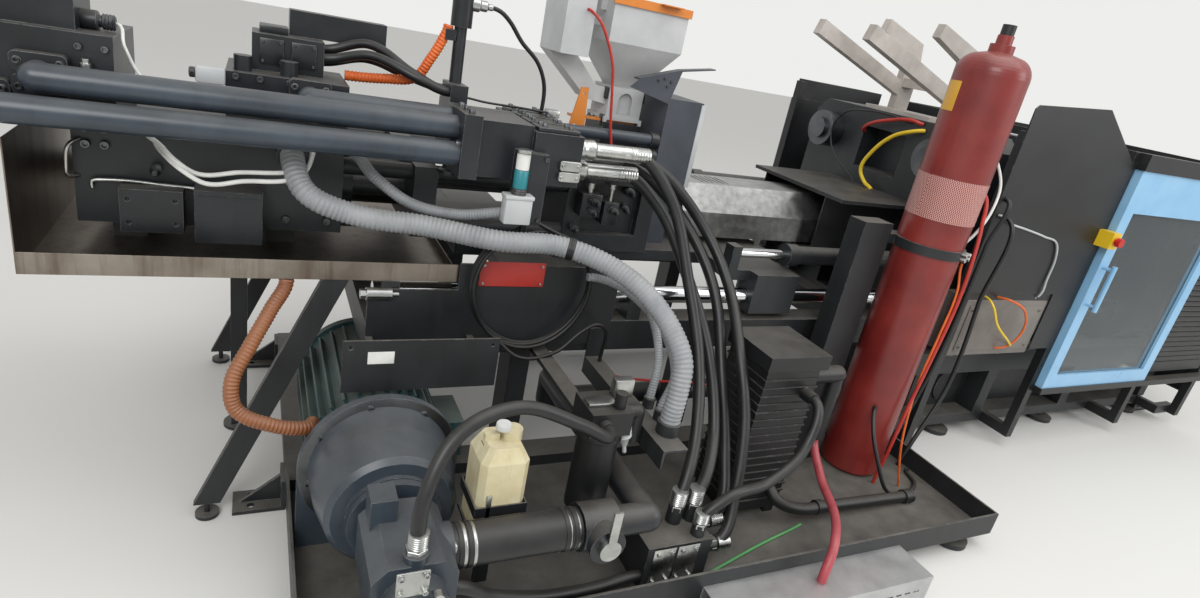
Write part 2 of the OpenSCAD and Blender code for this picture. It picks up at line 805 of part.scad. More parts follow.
module door_leaf(y0, y1) {
    win_x0 = door_x0 + stile_w;
    win_x1 = door_x0 + door_w - stile_w;
    win_z0 = door_z + stile_w;
    win_z1 = door_z + door_h - header_h;
    rebate = 10;
    difference() {
        slab([door_x0, y0, door_z], [door_x0 + door_w, y1, door_z + door_h]);
        slab([win_x0, y0 - cut, win_z0], [win_x1, y1 + cut, win_z1]);
        slab([win_x0 - rebate, (y0 + y1) / 2 - pane_t / 2, win_z0 - rebate],
            [win_x1 + rebate, (y0 + y1) / 2 + pane_t / 2, win_z1 + rebate]);
    }
}

module guard_door() color("#7fb2d8") {
    door_leaf(guard_y - door_t, guard_y - gap);
    handle_x = door_x0 + stile_w / 2;
    for (z = [800, 980]) bar_y(guard_y - door_t - 45, guard_y - door_t, handle_x, z, 14);
    bar_z(780, 1000, handle_x, guard_y - door_t - 45, 22);
}

module door_window() color("#cfd6d8") {
    rebate = 10;
    y = guard_y - (door_t + gap) / 2;
    slab([door_x0 + stile_w - rebate, y - pane_t / 2, door_z + stile_w - rebate],
        [door_x0 + door_w - stile_w + rebate, y + pane_t / 2, door_z + door_h - header_h + rebate]);
}

module far_door() color("#7fb2d8") {
    y0 = guard_far_y + gap;
    y1 = guard_far_y + door_t;
    door_leaf(y0, y1);
    slab([door_x0 + stile_w, y1 - pane_t, door_z + stile_w],
        [door_x0 + door_w - stile_w, y1, door_z + door_h - header_h]);
}

module operator_panel() color("#2b2d30") {
    y0 = guard_far_y + cover_t;
    x0 = 560;
    x1 = 1060;
    screen_m = 60;
    difference() {
        slab([x0, y0, 760], [x1, y_far, 1500]);
        slab([x0 + screen_m, y_far - 6, 1120], [x1 - screen_m, y_far + cut, 1440]);
    }
    slab([x0 + screen_m + 1, y_far - 6, 1121], [x1 - screen_m - 1, y_far - 3, 1439]);
}

module estop_box() color("#d9b42a") {
    y1 = guard_y - cover_t;
    difference() {
        slab([estop_x - 30, y1 - 64, estop_z - 36], [estop_x + 30, y1, estop_z + 36]);
        bar_y(y1 - 64 - cut, y1 - 30, estop_x, estop_z, estop_d / 2 + 2 * fit);
    }
}

module estop_button() color("#b3221c") {
    y1 = guard_y - cover_t - 64;
    travel = 6;
    bar_y(y1 - travel - 2 - 20, y1 - travel - 2, estop_x, estop_z, estop_d);
    bar_y(y1 - travel - 2, y1 + 20, estop_x, estop_z, estop_d / 2);
}

// Hydraulic pack

module motor_housing() color("#2d5a5c") {
    y0 = plate_y + plate_t;
    y1 = 60;
    shell_d = motor_d - 40;
    rotor_bore = 200;
    wall = 20;
    fin_t = 7;
    foot_w = 50;
    difference() {
        union() {
            bar_y(y0, y1, motor_x, motor_z, shell_d);
            translate([motor_x, y1 - 60, motor_z]) rotate([90, 0, 0]) linear_extrude(y1 - 120 - y0)
                for (a = [0:12:348]) rotate(a) translate([shell_d / 2 - 4, -fin_t / 2]) square([24, fin_t]);
            bar_y(y0, y0 + 26, motor_x, motor_z, motor_d);
            bar_y(y1 - 26, y1, motor_x, motor_z, motor_d - 12);
            for (x = [motor_x - 160, motor_x + 160 - foot_w]) {
                slab([x, y0, foot_h + pan_t], [x + foot_w, near_y - beam_w / 2 - 4, motor_z - 90]);
                slab([x, near_y - 30, sill_z], [x + foot_w, near_y + 30, motor_z - 90]);
            }
            slab([motor_x + shell_d / 2 - 20, y0 + 70, motor_z - 60],
                [motor_x + shell_d / 2 + 80, y0 + 230, motor_z + 60]);
        }
        bar_y(y0 + wall, y1 - wall, motor_x, motor_z, rotor_bore);
        bar_y(y0 - cut, y1 - wall / 2, motor_x, motor_z, shaft_d + 2 * fit);
    }
}

module motor_rotor() color("#8b8f92") {
    y0 = plate_y + plate_t;
    core_d = 186;
    hub_d = 130;
    spindle_d = 40;
    bar_y(y0 + 40, 10, motor_x, motor_z, core_d);
    bar_y(plate_y - 60, 45, motor_x, motor_z, shaft_d);
    bar_y(bell_front_y + 20, plate_y - 50, motor_x, motor_z, hub_d);
    bar_y(bell_front_y - 60, bell_front_y + 20, motor_x, motor_z, spindle_d);
}

module bell_housing() color("#3c444c") {
    wall = 14;
    plate_r = 215;
    hole_d = 200;
    mouth_d = 150;
    rim_d = 238;
    depth = plate_y - bell_front_y;
    plate_xz(plate_y, plate_y + plate_t) difference() {
        union() {
            translate([motor_x, motor_z]) circle(r = plate_r);
            translate([motor_x - plate_r, foot_h + pan_t]) square([2 * plate_r, motor_z - foot_h - pan_t]);
        }
        translate([motor_x, motor_z]) circle(d = hole_d);
    }
    translate([motor_x, plate_y, motor_z]) rotate([90, 0, 0]) rotate_extrude() polygon([
        [bell_d / 2 - wall, 0], [bell_d / 2, 0], [bell_d / 2 - 6, depth * 0.45],
        [bell_front_d / 2, depth - 14], [bell_front_d / 2 - 14, depth], [mouth_d / 2, depth],
        [mouth_d / 2, depth - wall], [bell_front_d / 2 - wall - 12, depth - wall],
        [bell_d / 2 - wall - 6, depth * 0.45]]);
    translate([motor_x, bell_front_y, motor_z]) rotate([90, 0, 0]) difference() {
        cylinder(d = rim_d, h = 12);
        translate([0, 0, -cut]) cylinder(d = mouth_d, h = 12 + 2 * cut);
    }
}

module pump_body() color("#3c444c") {
    z1 = motor_z + pump_w / 2;
    front = bell_front_y - 12;
    difference() {
        union() {
            bar_y(front - 22, front, motor_x, motor_z, 232);
            bar_y(pump_y1 - 60, front, motor_x, motor_z, 150);
            plate_xz(pump_y0 + 50, pump_y1 - 40) translate([motor_x, motor_z])
                cut_square(pump_w, pump_w, 34);
            bar_y(pump_y0, pump_y0 + 60, motor_x, motor_z, 150);
            bar_x(motor_x, motor_x + pump_w / 2 + 50, suction_y, suction_z, suction_d - 24);
            bar_x(motor_x, motor_x + pump_w / 2 + 12, suction_y, suction_z, suction_d + 14);
            slab([motor_x - 80, -860, motor_z], [motor_x - 20, -790, z1 + 60]);
            bar_z(motor_z, z1 + 18, motor_x, -985, 56);
        }
        bar_y(bell_front_y - 80, front + cut, motor_x, motor_z, 40 + 2 * fit);
    }
}

module suction_hose() color("#151617") {
    x0 = motor_x + pump_w / 2 + 12;
    bore = suction_d - 24;
    difference() {
        union() {
            bar_x(x0, valve_x0 - 2, suction_y, suction_z, suction_d);
            for (x = [x0 + 12, x0 + 36, valve_x0 - 50, valve_x0 - 26])
                bar_x(x, x + 12, suction_y, suction_z, suction_d + 4);
        }
        bar_x(x0 - cut, valve_x0, suction_y, suction_z, bore + 2 * gap);
    }
}

// Shut off valve, and the pipe that runs inside the bed to the oil tank
module suction_valve() color("#8d9092") {
    bore = suction_d - 24;
    pipe_x = valve_x0 + 215;
    run_y = near_y + 110;
    run_z = 250;
    pipe_d = 80;
    difference() {
        union() {
            bar_x(valve_x0 - 60, pipe_x, suction_y, suction_z, bore);
            bar_x(valve_x0, valve_x0 + 104, suction_y, suction_z, suction_d + 20);
            bar_y(suction_y - 90, suction_y, valve_x0 + 52, suction_z, 100);
            translate([pipe_x, suction_y, suction_z]) sphere(d = bore);
            bar_y(suction_y, run_y, pipe_x, suction_z, pipe_d);
            translate([pipe_x, run_y, suction_z]) sphere(d = pipe_d);
            bar_z(run_z, suction_z, pipe_x, run_y, pipe_d);
            translate([pipe_x, run_y, run_z]) sphere(d = pipe_d);
            bar_x(pipe_x, 700, run_y, run_z, pipe_d);
        }
        bar_y(suction_y - 90 - cut, suction_y - 40, valve_x0 + 52, suction_z, 24 + 2 * fit);
    }
}

module suction_lever() color("#b8babb") {
    x = valve_x0 + 52;
    y0 = suction_y - 90;
    bar_y(y0 - 16, y0 + 45, x, suction_z, 24);
    bar_y(y0 - 16, y0 - gap, x, suction_z, 60);
    slab([x - 12, y0 - 16, suction_z], [x + 12, y0 - 8, suction_z + 120]);
}

module oil_filter() color("#17181a") {
    translate([filter_x, filter_y, filter_z]) rotate_extrude() polygon([
        [0, 0], [bowl_d / 2 - 16, 0], [bowl_d / 2, 16], [bowl_d / 2, 250],
        [bowl_d / 2 + 8, 256], [bowl_d / 2 + 8, 280], [0, 280]]);
    slab([filter_x - 62, filter_y - 62, filter_z + 280], [filter_x + 62, filter_y + 62, filter_top]);
    bar_z(filter_top, filter_top + 46, filter_x + 30, filter_y - 30, 34);
    bar_x(filter_x + 62, filter_x + 110, filter_y, filter_top - 36, 44);
    translate([filter_x + 110, filter_y, filter_top - 36]) sphere(d = 44);
    bar_z(filter_top - 130, filter_top - 36, filter_x + 110, filter_y, 44);
    bar_y(filter_y - 82, filter_y - 62, filter_x - 20, filter_top - 36, 40);
}

module pack_brackets() color("#303336") {
    shield_y = near_y - beam_w / 2 - 8;
    plate_xz(-446, -440) difference() {
        translate([-1980, 520]) square([430, 155]);
        for (x = [-1960, -1570]) translate([x, 655]) circle(d = 12);
    }
    for (x = [-1900, -1600]) slab([x, -440, 575], [x + 20, shield_y, 600]);
    slab([filter_x - 55, filter_y + 62, filter_z + 281], [filter_x - 5, near_y - beam_w / 2, filter_z + 296]);
    can_shelf();
    bottle_post();
    hose_block();
    conduit_shelf();
}

// Arm that the conduits end on: a strip with a side flange, bolted to the bed
module conduit_shelf() {
    x0 = -1175;
    strip_w = 55;
    t = 6;
    top = 513;
    y0 = -835;
    y1 = near_y - beam_w / 2 - 8;
    slab([x0, y0, top - t], [x0 + strip_w, y1, top]);
    slab([x0, y0, top - t], [x0 + strip_w + 24, y0 + 130, top]);
    slab([x0, y0, top - 60], [x0 + t, y1, top]);
    slab([x0, y1 - t, top - t], [x0 + strip_w, y1, bed_z - 20]);
    for (r = concat([conduit_route], thin_routes)) let (p = end_of(r), d = p == end_of(conduit_route) ? conduit_d : branch_d - 6)
        bar_z(top - cut, p[2], p[0], p[1], d + 8);
}

module can_shelf() {
    half = can_w / 2;
    slab([can_x - half - 5, can_y - half - 5, can_z - 10], [can_x + half + 5, can_y + half + 5, can_z]);
    slab([can_x - 20, can_y, foot_h + pan_t], [can_x + 20, can_y + 14, can_z - 10]);
    strap_z = can_z + 60;
    difference() {
        slab([can_x - half - 5, can_y - half - 5, strap_z], [can_x + half + 5, can_y + half + 5, strap_z + 30]);
        slab([can_x - half - 1, can_y - half - 1, strap_z - cut], [can_x + half + 1, can_y + half + 1, strap_z + 31]);
    }
    slab([can_x - 30, can_y + half + 2, can_z - 10], [can_x + 30, can_y + half + 5, strap_z + 10]);
}

module bottle_post() {
    slab([-230, -400, foot_h + pan_t], [-90, -320, 1090]);
    difference() {
        union() {
            bar_z(1015, 1050, bottle_x, bottle_y, bottle_d + 16);
            slab([-90, bottle_y + 60, 1015], [bottle_x - 60, bottle_y + 120, 1050]);
            slab([bottle_x + 90, bottle_y - 20, 1015], [bottle_x + bottle_d / 2 + 40, bottle_y + 20, 1050]);
        }
        bar_z(1014, 1051, bottle_x, bottle_y, bottle_d + 2 * gap);
    }
}

// Block in the pan that the pressure hoses end on
module hose_block() {
    x0 = -1180;
    x1 = -960;
    slab([x0, -890, foot_h + pan_t], [x1, -740, hose_block_z]);
    for (x = [-1045, -985]) bar_z(hose_block_z, hose_block_z + 60, x, -790, 48);
    bar_z(hose_block_z, hose_block_z + 40, -1000, -860, 42);
    for (p = [[-830, 140], [-770, 180]]) bar_x(x1, x1 + 60, p[0], p[1], 48);
}

module oil_can() color("#d8c98a") {
    neck_d = 52;
    half = can_w / 2;
    difference() {
        union() {
            translate([can_x, can_y, can_z]) linear_extrude(can_h - 50) cut_square(can_w, can_w, 16);
            hull() {
                translate([can_x, can_y, can_z + can_h - 50]) linear_extrude(1) cut_square(can_w, can_w, 16);
                translate([can_x, can_y, can_z + can_h - 10]) linear_extrude(1) cut_square(can_w - 44, can_w - 30, 12);
            }
            bar_z(can_z + can_h - 12, can_z + can_h + 18, can_x + 26, can_y, neck_d);
        }
        slab([can_x - 50, can_y - 12, can_z + can_h - 34], [can_x - 24, can_y + 12, can_z + can_h - 20]);
    }
    slab([can_x - 48, can_y - 9, can_z + can_h - 12], [can_x - 10, can_y + 9, can_z + can_h + 8]);
}

module oil_cooler() color("#26282a") {
    x1 = cooler_x + cooler_w;
    depth = 210;
    z0 = foot_h + pan_t;
    z1 = z0 + 22 + cooler_h;
    rib = 5;
    for (x = [cooler_x + 10, x1 - 50]) slab([x, cooler_y, z0], [x + 40, cooler_y + depth, z0 + 22]);
    slab([cooler_x, cooler_y, z0 + 22], [x1, cooler_y + depth, z1]);
    for (z = [z0 + 60:30:z1 - 40]) slab([cooler_x - rib, cooler_y - rib, z], [x1 + rib, cooler_y + depth + rib, z + 6]);
    slab([cooler_x - 13, cooler_y - 13, z1], [x1 + 20, cooler_y + depth + 10, z1 + 50]);
    bar_x(x1, elbow_x, cooler_y + 60, z1 - 60, 62);
    translate([elbow_x, cooler_y + 60, z1 - 60]) sphere(d = 62);
    bar_z(water_z, z1 - 60, elbow_x, cooler_y + 60, 56);
    bar_y(cooler_y - 50, cooler_y, cooler_x + 180, 560, 44);
}

module accumulator_bottle() color("#7c2a24") {
    z0 = foot_h + pan_t;
    r = bottle_d / 2;
    translate([bottle_x, bottle_y, z0]) rotate_extrude() polygon(concat(
        [[0, 12], [r - 30, 12], [r - 20, 0], [r - 12, 0], [r, 14]],
        [for (a = [0:10:70]) [r - 62 * (1 - cos(a)), bottle_h - 60 + 68 * sin(a)]],
        [[40, bottle_h + 14], [40, bottle_h + 40], [26, bottle_h + 40], [26, bottle_h + 70],
            [7, bottle_h + 70], [7, bottle_h + 94], [0, bottle_h + 94]]));
}

module accumulator_valve() color("#1c1c1c") {
    z0 = foot_h + pan_t + bottle_h + 70;
    difference() {
        bar_z(z0 + gap, z0 + 34, bottle_x, bottle_y, 44);
        bar_z(z0, z0 + 25, bottle_x, bottle_y, 14 + 2 * fit);
    }
}

// Injection unit

module carriage_base() color("#26282b") {
    block_half = 48;
    block_lo = 665;
    y0 = near_y - block_half;
    y1 = far_y + block_half;
    difference() {
        union() {
            for (x = block_xs) {
                slab([x - block_l / 2, y0, carriage_z], [x + block_l / 2, y1, carriage_z + carriage_t]);
                both_sides() slab([x - block_l / 2, y0, block_lo],
                    [x + block_l / 2, near_y + block_half, carriage_z]);
            }
            slab([-1600, axis_y - 270, carriage_z], [-240, axis_y + 270, carriage_z + carriage_t]);
            for (p = [[near_pull_y, near_pull_z], [far_pull_y, far_pull_z]])
                slab([-620, p[0] - 26, carriage_z + carriage_t - cut], [-580, p[0] + 26, p[1] + 30]);
            slab([-620, near_pull_y - 26, carriage_z], [-320, far_pull_y + 26, carriage_z + carriage_t]);
        }
        both_sides() for (x = block_xs)
            bar_x(x - block_l / 2 - cut, x + block_l / 2 + cut, near_y, rail_z, rail_d + 2 * fit);
    }
}

module barrel_housing() color("#232629") {
    z0 = carriage_z + carriage_t;
    difference() {
        union() {
            slab([housing_x0, axis_y - 300, z0], [housing_x1, axis_y + 300, housing_top]);
            square_block(156, housing_top - cut, gate_z);
        }
        bar_x(housing_x0 - cut, housing_x1 + cut, axis_y, axis_z, barrel_d + 2 * gap);
        bar_z(axis_z, gate_z + cut, hopper_x, axis_y, feed_d);
        for (sy = [-1, 1]) slab([housing_x0 + 60, axis_y + sy * 330 - 60, z0 + 60],
            [housing_x1 - 60, axis_y + sy * 330 + 60, housing_top - 60]);
    }
}

module barrel() color("#4a4d50") {
    bore = screw_d + 2 * fit;
    flange_l = 24;
    difference() {
        union() {
            bar_x(housing_x0, barrel_x1, axis_y, axis_z, barrel_d);
            bar_x(housing_x1, housing_x1 + flange_l, axis_y, axis_z, barrel_d + 80);
        }
        bar_x(housing_x0 - cut, barrel_x1 + cut, axis_y, axis_z, bore);
        bar_z(axis_z, axis_z + barrel_d, hopper_x, axis_y, feed_d - 10);
    }
}

module nozzle() color("#6f7376") {
    mouth = 6;
    translate([barrel_x1, axis_y, axis_z]) rotate([0, 90, 0]) rotate_extrude() polygon([
        [screw_d / 2, 0], [barrel_d / 2 - 4, 0], [barrel_d / 2 - 4, 40], [38, 52], [38, 96],
        [22, nozzle_x1 - barrel_x1 - 14], [12, nozzle_x1 - barrel_x1], [mouth, nozzle_x1 - barrel_x1],
        [mouth, 80], [screw_d / 2, 30]]);
}

module heater_bands() color("#9a8f80") {
    x0 = -640;
    x1 = barrel_x1 - 20;
    pitch = (x1 - x0) / band_n;
    for (i = [0:band_n - 1]) difference() {
        union() {
            bar_x(x0 + i * pitch, x0 + (i + 0.86) * pitch, axis_y, axis_z, barrel_d + 2 * band_t);
            slab([x0 + (i + 0.3) * pitch, axis_y - 20, axis_z - barrel_d / 2 - band_t - 14],
                [x0 + (i + 0.56) * pitch, axis_y + 20, axis_z - barrel_d / 2]);
        }
        bar_x(x0 + i * pitch - cut, x0 + (i + 0.86) * pitch + cut, axis_y, axis_z, barrel_d + 2 * gap);
    }
}

// Sheet hood over the barrel: straight skirt, sloping sides and a flat top
module barrel_cover() color("#aeb0b0") {
    x0 = -673;
    skirt_x1 = 150;
    t = 3;
    skirt_lo = 847;
    crease = 950;
    top = 1052;
    difference() {
        plate_yz(x0, skirt_x1) translate([axis_y, 0]) hood_outline(skirt_lo, crease, top, 0);
        plate_yz(x0 + t, skirt_x1 + cut) translate([axis_y, 0]) hood_outline(skirt_lo - cut, crease, top, t);
        bar_x(x0 - cut, x0 + t + cut, axis_y, axis_z, barrel_d + 20);
        for (i = [0:5]) slab([x0 + 120 + i * 26, axis_y - 60, top - t - cut], [x0 + 130 + i * 26, axis_y + 60, top + cut]);
    }
    both_sides() {
        for (x = [-600, -280]) slab([x, axis_y - 150, carriage_z + carriage_t], [x + 30, axis_y - 147, skirt_lo + 20]);
        slab([70, axis_y - 156, 890], [110, axis_y - 150, 930]);
    }
}

module hood_outline(lo, crease, top, t) {
    w = 150 - t;
    v = 90 - t;
    polygon([[-w, lo], [w, lo], [w, crease], [v, top - t], [-v, top - t], [-w, crease]]);
}

// Screw core with a helical flight
module screw() color("#c2c4c6") {
    core_d = screw_d * 0.64;
    x1 = -20;
    bar_x(drive_x0, x1, axis_y, axis_z, core_d);
    bar_x(drive_x0, hopper_x - 110, axis_y, axis_z, screw_d);
    bar_x(x1 - 2, x1 + 40, axis_y, axis_z, screw_d - 12);
    flight(hopper_x - 110, x1 - 10, screw_d / 2 - fit, core_d / 2 - 3);
}

module flight(x0, x1, r1, r0) {
    pitch = 75;
    land = 9;
    sides = 14;
    n = round((x1 - x0) / pitch * sides);
    polyhedron(
        points = [for (i = [0:n]) let (x = x0 + (x1 - x0) * i / n, a = 360 * i / sides)
            each [for (q = [[r0, 0], [r1, 0], [r1, land], [r0, land]])
                [x + q[1], axis_y + q[0] * cos(a), axis_z + q[0] * sin(a)]]],
        faces = concat(
            [[3, 2, 1, 0]],
            [for (i = [0:n - 1], k = [0:3]) let (a = 4 * i, b = (k + 1) % 4) [a + k, a + b, a + 4 + k]],
            [for (i = [0:n - 1], k = [0:3]) let (a = 4 * i, b = (k + 1) % 4) [a + b, a + 4 + b, a + 4 + k]],
            [[4 * n, 4 * n + 1, 4 * n + 2, 4 * n + 3]]));
}

module crosshead() color("#33363a") {
    y0 = axis_y - 330;
    y1 = axis_y + 330;
    x1 = cross_x0 + cross_t;
    difference() {
        union() {
            slab([cross_x0, y0, axis_z - 110], [x1, y1, axis_z + 110]);
            bar_x(drive_x0 - 20, cross_x0, axis_y, axis_z, 200);
            for (y = piston_ys) {
                bar_x(piston_x0, cross_x0, y, axis_z, 70);
                bar_x(piston_x0, piston_x0 + 60, y, axis_z, piston_d);
            }
        }
        bar_x(drive_x0, x1 + cut, axis_y, axis_z, screw_d + 2 * fit);
        at_corners(column_dy, column_dz) rotate([0, 90, 0]) translate([0, 0, cross_x0 - cut])
            cylinder(d = column_d + 2 * fit, h = cross_t + 2 * cut);
    }
}

module injection_cylinders() color("#26292c") {
    y0 = axis_y - 310;
    y1 = axis_y + 310;
    z0 = 845;
    difference() {
        union() {
            slab([cyl_block_x0, y0, z0], [cyl_block_x1, y1, manifold_z0]);
            for (y = piston_ys) bar_x(cyl_block_x1 - cut, cyl_block_x1 + 40, y, axis_z, 130);
            for (x = [cyl_block_x0 + 60, cyl_block_x1 - 200])
                slab([x, y0 + 100, tray_z + tray_t + gap], [x + 80, y1 - 100, z0]);
            slab([-2332, y0 - 84, 826], [-2171, y0, 972]);
            slab([-2332, y0 - 92, 960], [-2171, y0 - 84, 972]);
            bar_y(-130, y0 + cut, -2100, 1080, conduit_d + 16);
        }
        for (y = piston_ys) {
            bar_x(cyl_block_x0 + 40, cyl_block_x1 - 40, y, axis_z, piston_d + 2 * fit);
            bar_x(cyl_block_x1 - 41, cyl_block_x1 + 41, y, axis_z, 70 + 2 * fit);
        }
        bar_x(cyl_block_x1 - 120, cyl_block_x1 + cut, axis_y, axis_z, 100);
    }
    at_corners(column_dy, column_dz) rotate([0, 90, 0]) translate([0, 0, cyl_block_x1 - cut])
        cylinder(d = column_d, h = housing_x0 - cyl_block_x1 + cut);
}

module valve_blocks() color("#2a2d30") {
    y0 = axis_y - 350;
    slab([manifold_x0, y0, manifold_z0], [manifold_x1, 180, manifold_z1]);
    slab([-2200, 0, manifold_z1], [-2020, 160, 1372]);
    slab([-2106, 90, 1372], [-1844, 160, 1440]);
    for (x = [-2240, -2130]) bar_z(manifold_z1, manifold_z1 + 40, x + 20, y0 + 40, 44);
    slab([x_left, -170, manifold_z0], [rear_x1, 150, rear_z1]);
    slab([x_left + 60, -130, rear_z1], [x_left + 240, 60, rear_z1 + 95]);
    bar_z(rear_z1 + 95, rear_z1 + 190, x_left + 100, -60, 62);
    slab([x_left + 170, -110, rear_z1 + 95], [x_left + 230, 20, rear_z1 + 160]);
    bar_x(x_left + 20, x_left + 60, -40, rear_z1 + 45, 50);
    difference() {
        slab([-2498, axis_y - 380, 845], [-2358, axis_y - 310, 958]);
        for (z = [870, 933], x = [-2480, -2376]) bar_y(axis_y - 381, axis_y - 370, x, z, 14);
    }
}

// Rigid oil tubes along the near side, with elbows into the rear blocks
module rigid_tubes() color("#353c44") {
    elbow_tube(x_left + 73, -270, 1160, -170);
    elbow_tube(x_left + 180, -230, 1225, -170);
    elbow_tube(-2060, -150, 1235, -100);
    for (y = [80], z = [1150, 1210]) bar_x(hose_head_x1, -865, y, z, 40);
    bar_y(-112, -100, -2060, 1235, 100);
}

module elbow_tube(x0, y, z, y_end) {
    bar_x(x0, clamp_x0, y, z, tube_d);
    translate([x0, y, z]) sphere(d = tube_d);
    bar_y(y, y_end, x0, z, tube_d);
}

// Saddle that holds the tubes, the block that shares their oil out, and the mast on it
module tube_clamp() color("#262a2e") {
    plate_z = 1100;
    head_y0 = -300;
    head_y1 = 110;
    slab([clamp_x0, -50, plate_z - 15], [housing_x0, 110, plate_z]);
    slab([clamp_x0, head_y0 - 10, plate_z], [clamp_x0 + 50, 10, 1275]);
    slab([clamp_x0, -125, 1275], [clamp_x0 + 50, -10, 1325]);
    slab([clamp_x0 + 50, head_y0 + 20, plate_z + 4], [hose_head_x0, -40, 1262]);
    slab([hose_head_x0, head_y0, plate_z], [hose_head_x1, head_y1, 1250]);
    slab([-1530, -330, 986], [-1440, -280, 1193]);
    slab([-1493, -330, 921], [-1477, -318, 987]);
    bar_y(-330, -282, -1485, coil_peg_z, 16);
    slab([-1530, -280, 1120], [-1440, -270, 1180]);
    for (p = hose_starts) {
        bar_x(hose_head_x1, hose_head_x1 + 46, p[1], p[2], 58);
        bar_x(hose_head_x1 + 46, p[0], p[1], p[2], hose_d + 10);
    }
    bar_z(1325, 1560, clamp_x0 + 25, -60, 36);
    bar_z(1480, 1560, clamp_x0 + 25, -60, 60);
    slab([clamp_x0 - 20, -76, 1440], [clamp_x0 + 10, -44, 1470]);
}

module pull_in_cylinders() color("#2b2d30") {
    for (p = [[near_pull_y, near_pull_z, -356], [far_pull_y, far_pull_z, -356]]) difference() {
        union() {
            bar_x(p[2], platen_x, p[0], p[1], pull_tube_d);
            bar_x(p[2], p[2] + 50, p[0], p[1], pull_tube_d + 14);
            slab([platen_x - 24, p[0] - 50, p[1] - 44], [platen_x, p[0] + 50, p[1] + 44]);
        }
        bar_x(p[2] + 40, platen_x - 40, p[0], p[1], pull_piston_d + 2 * fit);
        bar_x(p[2] - cut, p[2] + 41, p[0], p[1], pull_rod_d + 2 * fit);
    }
}

module pull_in_rods() color("#cfd1d3") {
    for (p = [[near_pull_y, near_pull_z], [far_pull_y, far_pull_z]]) {
        bar_x(-580, -270, p[0], p[1], pull_rod_d);
        bar_x(-310, -270, p[0], p[1], pull_piston_d);
    }
}

module hopper() color("#8f9194") {
    t = hopper_t;
    post_at = 72;
    difference() {
        union() {
            funnel(throat_w + 2 * t, hopper_w, neck_top, hopper_crease);
            square_block(hopper_w, hopper_crease, hopper_top);
            square_block(neck_w, throat_top, neck_top);
            square_block(neck_w + 16, throat_top, throat_top + 12);
        }
        funnel(throat_w, hopper_w - 2 * t, neck_top - cut / 2, hopper_crease + cut / 2);
        square_block(hopper_w - 2 * t, hopper_crease, hopper_top + cut);
        square_block(throat_w, throat_top - cut, neck_top);
        neck_window();
    }
    for (sx = [-1, 1], sy = [-1, 1]) translate([hopper_x + sx * post_at, axis_y + sy * post_at, 0])
        slab([-6, -6, gate_z], [6, 6, throat_top + cut]);
    lid_ears();
    loader();
}

// Recess with a round top in the near wall of the neck
module neck_window() {
    r = 28;
    y0 = axis_y - neck_w / 2;
    bar_y(y0 - cut, y0 + 18, hopper_x, neck_top - 46, 2 * r);
    slab([hopper_x - r, y0 - cut, throat_top + 24], [hopper_x + r, y0 + 18, neck_top - 46]);
}

module lid_ears() {
    for (sy = [-1, 1]) difference() {
        slab([hopper_x - lid_pin_x - 9, axis_y + sy * 75 - 10, hopper_top - 50],
            [hopper_x - hopper_w / 2, axis_y + sy * 75 + 10, hopper_top + 12]);
        bar_y(axis_y - 100, axis_y + 100, hopper_x - lid_pin_x, hopper_top + gap + 2, lid_pin_d + 2 * fit);
    }
}

// Feeder box beside the hopper, its chute into the neck and its bracket
module loader() {
    y0 = 100;
    y1 = 300;
    neck_x0 = hopper_x - neck_w / 2;
    slab([loader_x0, y0, loader_z0], [loader_x1, y1, loader_top]);
    plate_xz(axis_y - 50, y1) polygon([
        [loader_x0, loader_z0 + cut], [loader_x1, loader_z0 + cut], [neck_x0 - 50, neck_top - 6],
        [neck_x0 + 10, neck_top - 10], [neck_x0 + 10, neck_top - 70], [neck_x0 - 80, neck_top - 56]]);
    slab([loader_x1 - cut, axis_y - 60, hopper_top - 100], [hopper_x - hopper_w / 2 + 2, axis_y - 30, hopper_top - 70]);
}

module square_block(w, z0, z1) {
    slab([hopper_x - w / 2, axis_y - w / 2, z0], [hopper_x + w / 2, axis_y + w / 2, z1]);
}

module funnel(w0, w1, z0, z1) {
    translate([hopper_x, axis_y, z0]) linear_extrude(z1 - z0, scale = w1 / w0) square(w0, center = true);
}

module hopper_lid() color("#d98a3d") {
    z = hopper_top + gap;
    t = 4;
    w = hopper_w + 16;
    pin_x = hopper_x - lid_pin_x;
    difference() {
        union() {
            square_block(w, z - 24, z + t);
            slab([hopper_x + 20, axis_y - w / 2 - 30, z], [hopper_x + 100, axis_y - w / 2 + 1, z + t]);
        }
        slab([hopper_x - w / 2 - cut, axis_y - hopper_w / 2 - 3, z - 25],
            [hopper_x + hopper_w / 2 + 3, axis_y + hopper_w / 2 + 3, z]);
        for (sy = [-1, 1]) slab([hopper_x - w / 2 - cut, axis_y + sy * 75 - 15, z - 25],
            [hopper_x - hopper_w / 2 + 6, axis_y + sy * 75 + 15, z + t + cut]);
    }
    bar_y(axis_y - 58, axis_y + 58, pin_x, z + t / 2, 14);
    bar_y(axis_y - 90, axis_y + 90, pin_x, z + t / 2, lid_pin_d);
}

